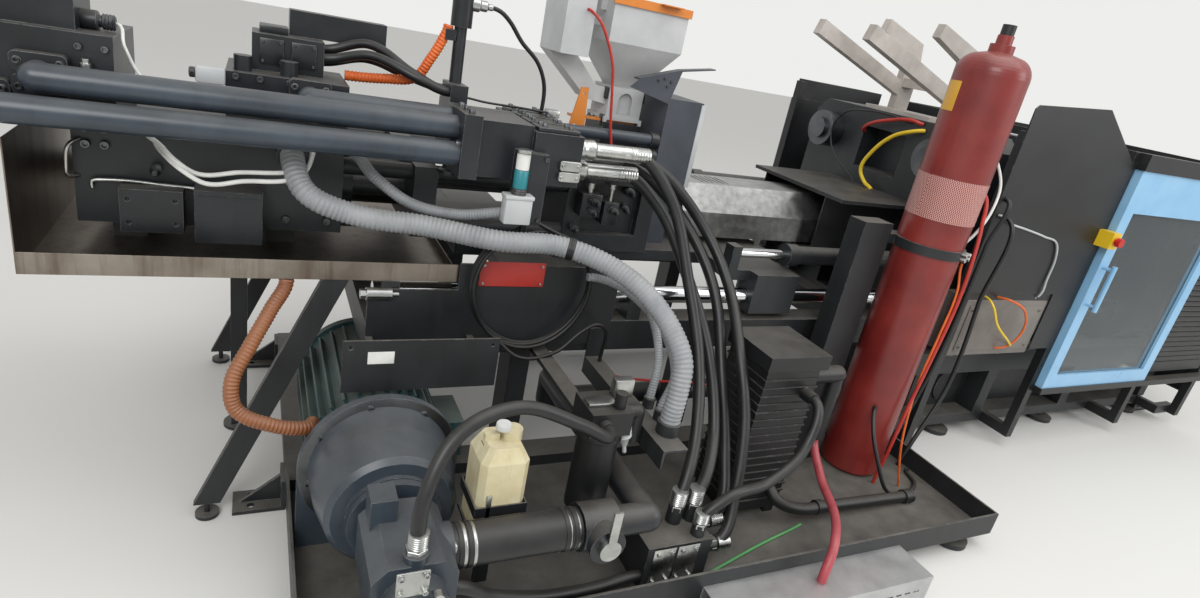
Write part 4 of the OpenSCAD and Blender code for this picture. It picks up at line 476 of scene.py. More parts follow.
manifoldHoses = {
    "diameter": 0.026,
    "routes": [
        [[1, 0, 0], [1, 0, 0], [[-2020, 20, 1330], [-1900, -20, 1360], [-1780, -90, 1325], [-1690, -100, 1300]]],
        [[1, 0, 0], [1, 0, 0], [[-2020, 70, 1350], [-1900, 40, 1385], [-1780, -50, 1330], [-1690, -65, 1300]]],
        [[1, 0, 0], [1, 0, 0], [[-2020, 120, 1310], [-1900, 90, 1340], [-1780, -5, 1315], [-1690, -30, 1300]]],
    ],
}
packHoses = {
    "diameter": 0.034,
    "routes": [
        [[0, 0, 1], [0, 1, 0], [[-1870, -985, 433], [-1860, -970, 570], [-1790, -920, 680], [-1640, -870, 710],
            [-1460, -860, 640], [-1365, -845, 585], [-1345, -802, 576]]],
        [[1, 0, 0], [1, 0, 0], [[-1775, -955, 280], [-1650, -930, 200], [-1480, -900, 130], [-1310, -880, 105],
            [-1180, -870, 110]]],
        [[0, -1, 0], [0, 0, -1], [[-540, -710, 560], [-600, -790, 430], [-750, -830, 350], [-920, -860, 340],
            [-1000, -860, 260]]],
    ],
    "waterDiameter": 0.030,
    "water": [[0, 0, -1], [0, 0, -1], [[-350, -600, 330], [-380, -700, 240], [-470, -890, 215], [-560, -990, 190],
        [-600, -1020, 130], [-600, -1020, 97]]],
}


# A hose from end to end, fixed at both ends, which follows one body, or stays where it is drawn, with no body, when it
# runs between two. Ribs are a cosine of the
# distance along it: radius less half the depth times (1 + cos(2 pi s / pitch))
def runHose(name, route, diameter, material, slot, body=None, between=None, replaces=(), rib=None, sides=18,
            step=0.008):
    line = smoothRoute(route, step)
    radius = diameter / 2
    if rib:
        pitch, depth = rib
        fineLine = spreadEvenly(line, pitch / 6)
        s = np.arange(len(fineLine)) * lengthOf(fineLine) / (len(fineLine) - 1)
        lofts = [tube(fineLine, radius - depth * 0.5 * (1 + np.cos(2 * pi * s / pitch)), sides)]
    else:
        lofts = [tube(line, radius, sides)]
    piece = meshOf(name, lofts, material, crease=60)
    if between:
        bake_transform(piece)
    else:
        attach(piece, body)
    if replaces:
        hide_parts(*replaces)


for i, route in enumerate(pressureHoses["routes"]):
    runHose(f"pressureHose{i + 1}", route, pressureHoses["diameter"], rubber, "hose_rubber",
            between=("carriage", "frame"), replaces=["pressure_hoses"] if i == 0 else ())
runHose("mainConduit", conduitHoses["main"], conduitHoses["mainDiameter"], conduitGrey, "conduit_grey",
        between=("carriage", "frame"), replaces=["conduits"], rib=conduitHoses["mainRib"], sides=26)
runHose("branchConduit", conduitHoses["branch"], conduitHoses["branchDiameter"], conduitGrey, "conduit_grey",
        body="carriage", rib=conduitHoses["branchRib"], sides=20)
for i, route in enumerate(manifoldHoses["routes"]):
    runHose(f"manifoldHose{i + 1}", route, manifoldHoses["diameter"], rubber, "hose_rubber", body="carriage",
            replaces=["manifold_hoses"] if i == 0 else ())
for i, route in enumerate(packHoses["routes"]):
    runHose(f"packHose{i + 1}", route, packHoses["diameter"], rubber, "hose_rubber", body="frame",
            replaces=["pack_hoses"] if i == 0 else ())
for i, route in enumerate(conduitHoses["thin"]):
    runHose(f"thinConduit{i + 1}", route, conduitHoses["thinDiameter"], conduitGrey, "conduit_grey",
            between=("carriage", "frame"), rib=conduitHoses["thinRib"], sides=18)
runHose("waterHose", packHoses["water"], packHoses["waterDiameter"], waterPink, "wire_red", body="frame")

# Cables down the platen
panelCables = {
    "diameter": 0.018,
    "routes": [
        [[0, -1, 0], [0, 0, -1], [[430, -426, 1230], [400, -446, 1050], [380, -446, 560], [310, -440, 150],
                                  [300, -440, 68]]],
        [[0, -1, 0], [0, 0, -1], [[460, -426, 1160], [450, -476, 800], [430, -500, 430], [310, -520, 150],
                                  [290, -520, 68]]],
    ],
}
for i, route in enumerate(panelCables["routes"]):
    runHose(f"panelCable{i + 1}", route, panelCables["diameter"], cableBlack, "cable_black", body="frame",
            replaces=["cables"] if i == 0 else ())

# Spare cable wound on its hanger, with both ends in the plate above: x = cx + r cos a, z = cz + r sin a, y falls
# with the angle, and two slow sines make r uneven
spareCoil = {
    "centre": (-1420, -301.5, 773), "radius": 190, "fromAngle": 120, "sweep": 1020, "diameter": 0.0125, "pitch": 12.8,
    "firstTurn": 15, "uneven": (3.5, 3), "startInPlate": (-1446, -290, 992), "endInPlate": (-1446, -312, 992),
}
t = np.radians(np.linspace(0, spareCoil["sweep"], 241))
turnedBy = t + np.radians(spareCoil["fromAngle"])
swing = spareCoil["radius"] + spareCoil["uneven"][0] * np.sin(3 * t) + spareCoil["uneven"][1] * np.sin(1.7 * t + 1)
loops = np.stack([spareCoil["centre"][0] + swing * np.cos(turnedBy),
                  spareCoil["centre"][1] + spareCoil["firstTurn"] - spareCoil["pitch"] * t / (2 * pi),
                  spareCoil["centre"][2] + swing * np.sin(turnedBy)], 1)
leadIn = smoothRoute([(-1, 0, -0.75), loops[1] - loops[0], [spareCoil["startInPlate"], loops[0]]])
leadOut = smoothRoute([loops[-1] - loops[-2], (-1, 0, 0.6), [loops[-1], spareCoil["endInPlate"]]])
coilLine = np.concatenate([leadIn[:-1], loops * mm, leadOut[1:]])
coil = meshOf("spareCableCoil", [tube(coilLine, spareCoil["diameter"] / 2, 12)], cableBlack, crease=60)
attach(coil, "carriage")
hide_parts("cable_coil")
print("Hoses run")


# Socket head screw: a turned head with a round socket sunk in its top
def capScrew(place, along, size=14):
    head = [(0.5, -0.15), (0.5, 0.5), (0.45, 0.6), (0.29, 0.6), (0.27, 0.25)]
    return turnedRings([(r * size, h * size) for r, h in head], place, along, 14)


# Hexagon carried along a direction, with bevelled ends
def hexBody(place, along, flats, length):
    a = np.arange(6) * pi / 3
    outline = np.stack([np.cos(a), np.sin(a)], 1) * flats / 3**0.5
    return carriedRings(outline, [(0, 1.5), (1.5, 0), (length - 1.5, 0), (length, 1.5)], place, along)


# Crimped hose end: the sleeve's radius waves seven times round 1.28 times the hose's, then comes a neck with a nut
def crimpedEnd(place, along, bore, length):
    h = np.linspace(0, length, 57)
    r = bore * (0.64 + 0.03 * np.cos(2 * pi * h * 7 / length))
    profile = [(bore * 0.5, -1), *zip(r, h), (bore * 0.46, length + 1), (bore * 0.46, length + 16)]
    nut = np.array(place, float) + unit(along) * (length + 6)
    return [turnedRings(profile, place, along, 28), hexBody(nut, along, bore * 1.15, bore * 0.5)]


# Split flange: two half plates round a tube, each held by two socket screws
def splitFlange(place, along, up, bore):
    u, v, w = axesOf(along, up)
    lofts = []
    for side in (-1, 1):
        half = roundRect(bore * 1.62, bore * 0.7, bore * 0.2) + [0, side * bore * 0.38]
        lofts.append(carriedRings(half, [(0, 1.5), (1.5, 0), (bore * 0.38, 0), (bore * 0.42, 1.5)], place, along, up))
        for end in (-1, 1):
            foot = np.array(place, float) + u * end * bore * 0.58 + v * side * bore * 0.42 + w * bore * 0.41
            lofts.append(capScrew(foot, along, bore * 0.24))
    return lofts


# Worm drive band round a hose, with its screw housing underneath
def hoseBand(place, along, radius):
    u, v, w = axesOf(along, (0, 0, 1))
    band = [(radius - 1, -7), (radius + 1, -7), (radius + 1.8, -5.5), (radius + 1.8, 5.5), (radius + 1, 7),
            (radius - 1, 7)]
    housing = np.array(place, float) - v * (radius + 6)
    return [turnedRings(band, place, along, 40),
            turnedRings([(5, -13), (6, -12), (6, 8), (4, 9), (4, 14)], housing, u, 10)]


# Stepped cable plug: hexagon, body with grip waves and a tapered strain relief
def cablePlug(place, along, width):
    h = np.linspace(0.3, 1.5, 25)
    grip = list(zip(0.5 + 0.02 * np.cos(h * 60), h))
    steps = [(0.42, -0.1), (0.42, 0.28), *grip, (0.42, 1.55), (0.3, 2.1), (0.2, 2.3)]
    return turnedRings([(r * width, k * width) for r, k in steps], place, along, 24)


# Small black parts and bright parts of the injection unit, which all ride on its carriage
blackFittings = {
    "plates": [  # low corner, high corner in mm
        ((-2640, -88, 1320), (-2588, -32, 1372)), ((-1470, -292, 1249), (-1342, -214, 1263)),
        ((-1470, -192, 1249), (-1342, -118, 1263)), ((-1470, -96, 1249), (-1342, -22, 1263)),
        ((-1470, 4, 1249), (-1342, 78, 1263)), ((-2182, -9, 1296), (-2122, 1, 1362)),
               ((-2104, -9, 1296), (-2040, 1, 1362)),
        ((-2182, 40, 1371), (-2110, 120, 1392)), ((-1057, 184, 1320), (-1044, 212, 1362)),
               ((-1057, 184, 1222), (-1044, 212, 1264)),
        ((-906, 184, 1320), (-893, 212, 1362)), ((-906, 184, 1222), (-893, 212, 1264)),
               ((-1232, -58, 1119), (-1168, 20, 1146)),
        ((-1150, -58, 1119), (-1086, 20, 1140)), ((-1210, -104, 955), (-1136, -49, 1035)),
               ((-1120, -96, 930), (-1062, -19, 1010)),
    ],
    "plugs": [  # place, direction, width
        ((-1173, -104, 1010), (0, -1, 0.1), 26), ((-1173, -104, 978), (0, -1, 0), 20),
              ((-1091, -96, 985), (0, -1, 0), 24),
        ((-1010, -21, 1040), (0, -1, 0), 30), ((-1010, -21, 985), (0, -1, -0.3), 24),
              ((-2640, -60, 1400), (0, -1, 0), 34),
        ((-2010, -100, 1252), (0, -1, 0), 22), ((-2420, -60, 1000), (0, -1, 0), 26),
              ((-1210, -50, 905), (0, -1, 0), 26),
    ],
    "flanges": [((-2620, -170, 1225), 66), ((-2727, -170, 1160), 66), ((-2060, -100, 1235), 66)],  # place, bore
    "turned": [  # profile of (radius, height), place, direction
        ([(14, 0), (23, 1), (23.5, 3), (23.5, 60), (21, 63), (14, 63), (14, 70)], (-2588, -60, 1346), (1, 0, 0)),
        ([(16, 0), (19, 2), (17, 6), (19, 9), (17, 13), (19, 16), (17, 20), (19, 23), (14, 27)], (-2518, -60, 1346),
         (1, 0, 0)),
        ([(25, 0), (26, 2), (26, 30), (22, 34)], (-900, 80, 1150), (1, 0, 0)),
        ([(25, 0), (26, 2), (26, 30), (22, 34)], (-900, 80, 1210), (1, 0, 0)),
        ([(21, 0), (22, 2), (20, 5), (22, 8), (20, 11), (22, 14), (20, 18)], (-1526, -351, 1079), (0, 0, 1)),
        ([(9, 0), (13, 1), (13, 12), (10, 14)], (-2326, -96, 1262), (-1, 0, 0)),
        ([(24, 0), (30, 2), (30, 14), (22, 18), (16, 40)], (-1665, -96, 1060), (0, 0, 1)),
    ],
}
lofts = [block(lo, hi, 3, 2) for lo, hi in blackFittings["plates"]]
lofts += [turnedRings(profile, place, way, 32) for profile, place, way in blackFittings["turned"]]
for place, bore in blackFittings["flanges"]:
    lofts += splitFlange(place, (0, -1, 0), (0, 0, 1), bore)
lofts += [cablePlug(place, way, width) for place, way, width in blackFittings["plugs"]]
fit("valveFittings", lofts, blockPaint, "carriage")

# Socket screws: place, direction, head
screwSets = {
    "manifoldScrews": [((x, -100, z), (0, -1, 0), 17) for x in (-2236, -2180, -2110) for z in (1266, 1206, 1150)],
    "hatchScrews": [((x, 60, z), (0, -1, 0), 10)
                    for x, z in ((-924, 1420), (-900, 1429), (-872, 1421), (-884, 1404))],
    "headScrews": [((x, y, 1263), (0, 0, 1), 15) for x in (-1448, -1366)
                   for y in (-272, -234, -172, -138, -76, -42, 24, 58)],
    "saddleScrews": [((-1665, y, 1275), (0, 0, 1), 18)
                     for y in (-280, -225, -165)] + [((-1690, y, 1190), (-1, 0, 0), 18) for y in (-280, -200)],
    "cylinderScrews": [((x, -60, z), (0, -1, 0), 22) for x in (-2570, -2530) for z in (1090, 1050)]
                      + [((x, -60, z), (0, -1, 0), 22) for x, z in ((-2110, 880), (-2000, 1090), (-2000, 880))],
    "recessScrews": [((x, -9, z), (0, -1, 0), 8) for x in (-2174, -2130, -2096, -2048) for z in (1304, 1354)],
    "hangerScrews": [((x, -330, z), (0, -1, 0), 12) for x in (-1520, -1450) for z in (1000, 1180)],
    "rearScrews": [((x, -170, z), (0, -1, 0), 16) for x in (-2550, -2500) for z in (1296, 1150)],
}
for name, places in screwSets.items():
    fit(name, [capScrew(*item) for item in places], turnedSteel, "carriage")

brightFittings = {
    "blocks": [((-1362, -64, 1262), (-1322, -22, 1284))],
    "turned": [
        ([(17, 0), (19, 2), (19, 30), (15, 34), (15, 52), (9, 58), (9, 70)], (-1650, -60, 1546), (1, 0, 0)),
        ([(9, 0), (9, 12), (12, 13), (12, 22), (8, 24), (8, 32)], (-2536, -186, 1240), (0, 0, 1)),
        ([(10, 0), (10, 16), (14, 17), (14, 34), (10, 36)], (-1176, -80, 1035), (0, 0, 1)),
        ([(8, 0), (8, 40), (12, 42), (12, 58), (8, 60)], (-1092, -74, 1010), (0, 0, 1)),
        ([(17, 0), (19, 2), (19, 72), (14, 74), (9, 75), (9, 92)], (-1905, -262, 733), (1, 0, 0)),
        ([(22, 0), (24, 2), (24, 9), (17, 11)], (-1526, -351, 1197), (0, 0, 1)),
    ],
    "hexes": [((-2536, -170, 1240), (0, -1, 0), 24, 22), ((-1905, -262, 733), (-1, 0, 0), 26, 16)],
    "flanges": [((-1366, -300, 1148), 42)],
    "pipeRadius": 0.005,
    "pipes": [
        [(-2561, -75, 940), (-2561, -75, 958), (-2545, -75, 962), (-2369, -75, 957), (-2190, -75, 950),
         (-2171, -60, 950)],
        [(-2581, -62, 1060), (-2600, -85, 1050), (-2608, -92, 1000), (-2606, -85, 970), (-2590, -62, 965)],
    ],
}
lofts = [block(lo, hi, 3) for lo, hi in brightFittings["blocks"]]
lofts += [turnedRings(profile, place, way, 28) for profile, place, way in brightFittings["turned"]]
lofts += [hexBody(*item) for item in brightFittings["hexes"]]
for p in brightFittings["pipes"]:
    line = smoothRoute([np.subtract(p[1], p[0]), np.subtract(p[-1], p[-2]), p], 0.01)
    lofts.append(tube(line, brightFittings["pipeRadius"], 12))
for place, bore in brightFittings["flanges"]:
    lofts += splitFlange(place, (0, -1, 0), (0, 0, 1), bore)
fit("brightFittings", lofts, fittingZinc, "carriage")

# Crimped sleeves where the pressure hoses start and end, and stepped collars behind the starts
hoseEnds = {
    "bore": 38, "startReach": 46, "startLength": 66, "footReach": 52, "footLength": 44,
    "collarFace": -1330.4, "collarFoot": -1328, "neck": 24.5,
    "collar": [(29.3, 0), (30.6, 2), (30.6, 13), (29.6, 15), (29.6, 30), (30.6, 32), (30.6, 45), (25, 50),
               (24.5, 52)],
}
for i, route in enumerate(pressureHoses["routes"]):
    start, end = np.array(route[2][0], float), np.array(route[2][-1], float)
    sleeve = crimpedEnd(start + [hoseEnds["startReach"], 0, 0], (-1, 0, 0), hoseEnds["bore"], hoseEnds["startLength"])
    fit(f"hoseStart{i + 1}", sleeve, fittingZinc, "carriage")
    foot = end - np.array(route[1]) * hoseEnds["footReach"]
    fit(f"hoseFoot{i + 1}", crimpedEnd(foot, route[1], hoseEnds["bore"], hoseEnds["footLength"]), fittingZinc,
        "frame")
    steps = [*hoseEnds["collar"], (hoseEnds["neck"], start[0] - hoseEnds["collarFoot"])]
    collar = turnedRings(steps, (hoseEnds["collarFace"], *start[1:]), (1, 0, 0), 32)
    fit(f"hoseCollar{i + 1}", [collar], fittingZinc, "carriage")

# Band round the main conduit, set on its line at the given share of its length
bandAt = {"share": 0.57, "profile": [(31, -11), (33, -10), (33, -3), (34.5, -2), (34.5, 2), (33, 3), (33, 10),
                                     (31, 11)]}
conduitLine = smoothRoute(conduitHoses["main"])
middle = int(len(conduitLine) * bandAt["share"])
bandWay = conduitLine[middle + 1] - conduitLine[middle - 1]
bandRings = turnedRings(bandAt["profile"], conduitLine[middle] / mm, bandWay, 40)
conduitBand = meshOf("conduitBand", [bandRings], blackPlastic)
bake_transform(conduitBand)

# Sight glass: pale above, teal below, on its light grey box
gaugeSet = {
    "glass": ([(16, 0), (19, 2), (19, 46), (17, 48)], (-1526, -351, 1150)),
    "base": ([(17, 0), (20, 2), (20, 50), (18, 53)], (-1526, -351, 1097)),
    "boxes": [  # low corner, high corner, edge
        ((-1566, -372, 996), (-1486, -329, 1072), 4), ((-1569, -375, 1068), (-1483, -329, 1080), 3),
        ((-2572, -198, 1186), (-2488, -169, 1234), 4), ((-2326, -112, 1240), (-2259, -80, 1281), 5),
        ((-724, 55, 1052), (-705, 61, 1360), 1.5),
    ],
}
fit("sightGlass", [turnedRings(*gaugeSet["glass"], (0, 0, 1), 36)], wireWhite, "carriage")
fit("sightGlassBase", [turnedRings(*gaugeSet["base"], (0, 0, 1), 36)], tealPlastic, "carriage")
fit("gaugeBox", [block(*item) for item in gaugeSet["boxes"]], boxGrey, "carriage")

# Bare sign sheets, kept without words
signs = {
    "red": ((-1582, -272, 766), (-1372, -269, 846)),
    "screws": [((x, -272, z), (0, -1, 0), 9) for x in (-1570, -1384) for z in (777, 835)],
    "parts": ((-1916, -449, 606), (-1846, -445.5, 642)),
}
fit("barePlates", [block(*signs["red"], 1, 1)], signRed, "frame")
fit("signScrews", [capScrew(*item) for item in signs["screws"]], fittingZinc, "frame")
fit("partsPlates", [block(*signs["parts"], 1, 1)], wireWhite, "frame")
print("Injection unit dressed")

# Pump set, filter, valve and hose block in the pan
packFittings = {
    "blocks": [
        ((-1925, -1064, 388), (-1855, -1058, 452)), ((-1160, -893, 84), (-1086, -889, 214)),
        ((-1078, -893, 84), (-1004, -889, 214)),
        ((-1384, -744, 612), (-1300, -700, 622)), ((-1290, -700, 611), (-1230, -670, 664)),
        ((-1662, -820, 300), (-1648, -812, 420)),
    ],
    "turned": [
        ([(58, 0), (61, 2), (61, 5), (63, 7), (61, 9), (63, 11), (61, 13), (63, 15), (61, 18), (58, 20)],
         (-1325, -720, 520), (0, 0, 1)),
        ([(9, 0), (12, 2), (12, 22), (7, 24)], (-1835, -1061, 383), (0, -1, 0)),
        ([(9, 0), (12, 2), (12, 18), (7, 20)], (-1936, -1061, 362), (0, -1, 0)),
    ],
    "hexes": [((-1859, -1061, 356), (0, -1, 0), 30, 16), ((-1334, -940, 329), (0, -1, 0), 20, 22),
              ((-1870, -985, 430), (0, 0, 1), 44, 18)],
    "screws": [((x, -1064, z), (0, -1, 0), 14) for x in (-1916, -1864) for z in (398, 442)]
              + [((x, -893, z), (0, -1, 0), 13) for x in (-1146, -1100, -1064, -1018) for z in (100, 198)],
    "bands": [(x, -880, 335) for x in (-1738, -1714, -1466, -1442)], "bandRadius": 54,
    "flange": (-1783, -880, 335), "flangeBore": 60,
    "crimps": [((-1868, -984, 486), 40), ((-1000, -860, 300), 30)], "crimpBore": 34,  # place, length
    "spout": ([(20, 0), (23, 2), (20, 8), (23, 14), (20, 20), (23, 26), (20, 32), (16, 36), (9, 60), (6, 62),
               (6, 86)],
              (-1262, -742, 540), (0.25, 0, -1)),
}
lofts = [block(lo, hi, 2) for lo, hi in packFittings["blocks"]] + [hexBody(*item) for item in packFittings["hexes"]]
lofts += [turnedRings(profile, place, way, 36) for profile, place, way in packFittings["turned"]]
lofts += [capScrew(*item) for item in packFittings["screws"]]
for place in packFittings["bands"]:
    lofts += hoseBand(place, (1, 0, 0), packFittings["bandRadius"])
lofts += splitFlange(packFittings["flange"], (1, 0, 0), (0, 0, 1), packFittings["flangeBore"])
for place, length in packFittings["crimps"]:
    lofts += crimpedEnd(place, (0, 0, -1), packFittings["crimpBore"], length)
fit("packFittings", lofts, fittingZinc, "frame")
fit("filterSpout", [turnedRings(*packFittings["spout"], 32)], boxGrey, "frame")

# Bell: raised rims, two rings of screws and a yellow cap
bellTrim = {
    "centre": (-1870, 320),
    "rims": ((118, -509), (112, -720), (211, -509)),  # radius, y
    "rings": ((190, -510, 18, 1), (108, -732, 14, 2)),  # radius, y, head, one in so many places
    "places": 8, "turnedBy": 0.2,
    "cap": ([(17, 0), (19, 2), (19, 13), (15, 16)], (-1870, -509, 420)),
}
cx, cz = bellTrim["centre"]
a = np.linspace(0, 2 * pi, bellTrim["places"] + 1)[:-1] + bellTrim["turnedBy"]
lofts = []
for r0, y in bellTrim["rims"]:
    lofts.append(turnedRings([(r0, 0), (r0 + 3.5, 0.5), (r0 + 4, 3), (r0, 4)], (cx, y, cz), (0, -1, 0), 72))
for r0, y, head, every in bellTrim["rings"]:
    lofts += [capScrew((cx + r0 * np.cos(k), y, cz + r0 * np.sin(k)), (0, -1, 0), head) for k in a[::every]]
fit("bellScrews", lofts, turnedSteel, "frame")
fit("motorCap", [turnedRings(*bellTrim["cap"], (0, -1, 0), 28)], stopYellow, "frame")

# Screw cap of the oil can
canCap = {"profile": [(19, 0), (20, 1), (20, 14), (18, 17)], "place": (-1620, -750, 573)}
fit("oilCanCap", [turnedRings(canCap["profile"], canCap["place"], (0, 0, 1), 30)], wireWhite, "frame")

# Bottle: curved bare plate, net sleeve, and clamp ring with its screws
bottleTrim = {
    "centre": (65, -450),
    "plate": (119.6, 138, 176, 1512, 1612, 1.2),  # radius, two angles, two heights, thickness
    "net": (119.7, -160, 199.9, 1144, 1295, 1.6),
    "ring": ([(120, -9), (123, -8), (123, 8), (120, 9)], (65, -450, 1032)),
    "screws": [((96, -566, z), (0.3, -1, 0), 16, 26) for z in (1024, 1042)]
              + [((130, -556, z), (0.5, -1, 0), 16, 24) for z in (1026, 1040)],
}


# Patch of a round shell between two angles and two heights: x = cx + r cos a, y = cy + r sin a
def shellPatch(radius, fromAngle, toAngle, low, high, thick, steps=24):
    a = np.radians(np.linspace(fromAngle, toAngle, steps))
    r = np.array([radius, radius + thick, radius + thick, radius])
    z = np.array([low, low, high, high])
    x, y = bottleTrim["centre"]
    ring = np.stack([x + r * np.cos(a)[:, None], y + r * np.sin(a)[:, None], np.broadcast_to(z, (steps, 4))], -1)
    return ring * mm


fit("bottlePlate", [shellPatch(*bottleTrim["plate"])], plateYellow, "frame")
fit("bottleNet", [shellPatch(*bottleTrim["net"], 90)], netSleeve, "frame")
fit("bottleRing", [turnedRings(*bottleTrim["ring"], (0, 0, 1), 72)], sheetPaint, "frame")
fit("bottleRingScrews", [hexBody(*item) for item in bottleTrim["screws"]], fittingZinc, "frame")

# Return pipe along the pan with its elbow, and the green dipstick that lies there
returnPipe = {
    "radius": 0.021,
    "route": [[0, -1, -0.3], [1, 0, 0], [[-560, -655, 180], [-545, -700, 150], [-470, -724, 122], [-300, -726, 110],
              [-60, -726, 100], [120, -724, 92]]],
    "elbow": ([(22, 0), (27, 2), (27, 20), (25, 22), (25, 34), (27, 36), (27, 46), (20, 50)], (80, -725, 93),
              (1, 0, -0.04)),
    "sleeve": ([(22, 0), (26, 2), (26, 30), (22, 33)], (-380, -726, 114), (1, 0, -0.05)),
}
dipstick = {"radius": 0.005, "route": [[1, 0.3, 0], [1, 0.3, 0],
                                       [[-936, -885, 73], [-673, -809, 73], [-454, -754, 73]]]}
lofts = [tube(smoothRoute(returnPipe["route"]), returnPipe["radius"], 24)]
lofts += [turnedRings(*returnPipe[part], 32) for part in ("elbow", "sleeve")]
fit("returnPipe", lofts, blackPlastic, "frame")
fit("dipstick", [tube(smoothRoute(dipstick["route"]), dipstick["radius"], 10)], greenLacquer, "frame")

# Terminal box under the cover: shell, raised lid and glands
terminalBox = {
    "shell": ((459, -423, 539), (1001, -302, 801)),
    "lid": ((486, -428, 566), (974, -422, 774)),
    "glands": [((x, -380, 539), (0, 0, -1), 30, 18) for x in (540, 620, 860)],
    "screws": [((x, -428, z), (0, -1, 0), 12) for x in (504, 956) for z in (584, 756)],
}
lofts = [block(*terminalBox["shell"], 5), block(*terminalBox["lid"], 2, 1)]
lofts += [hexBody(*item) for item in terminalBox["glands"]] + [capScrew(*item) for item in terminalBox["screws"]]
fit("terminalShell", lofts, warmGrey, "frame")
print("Hydraulic pack dressed")

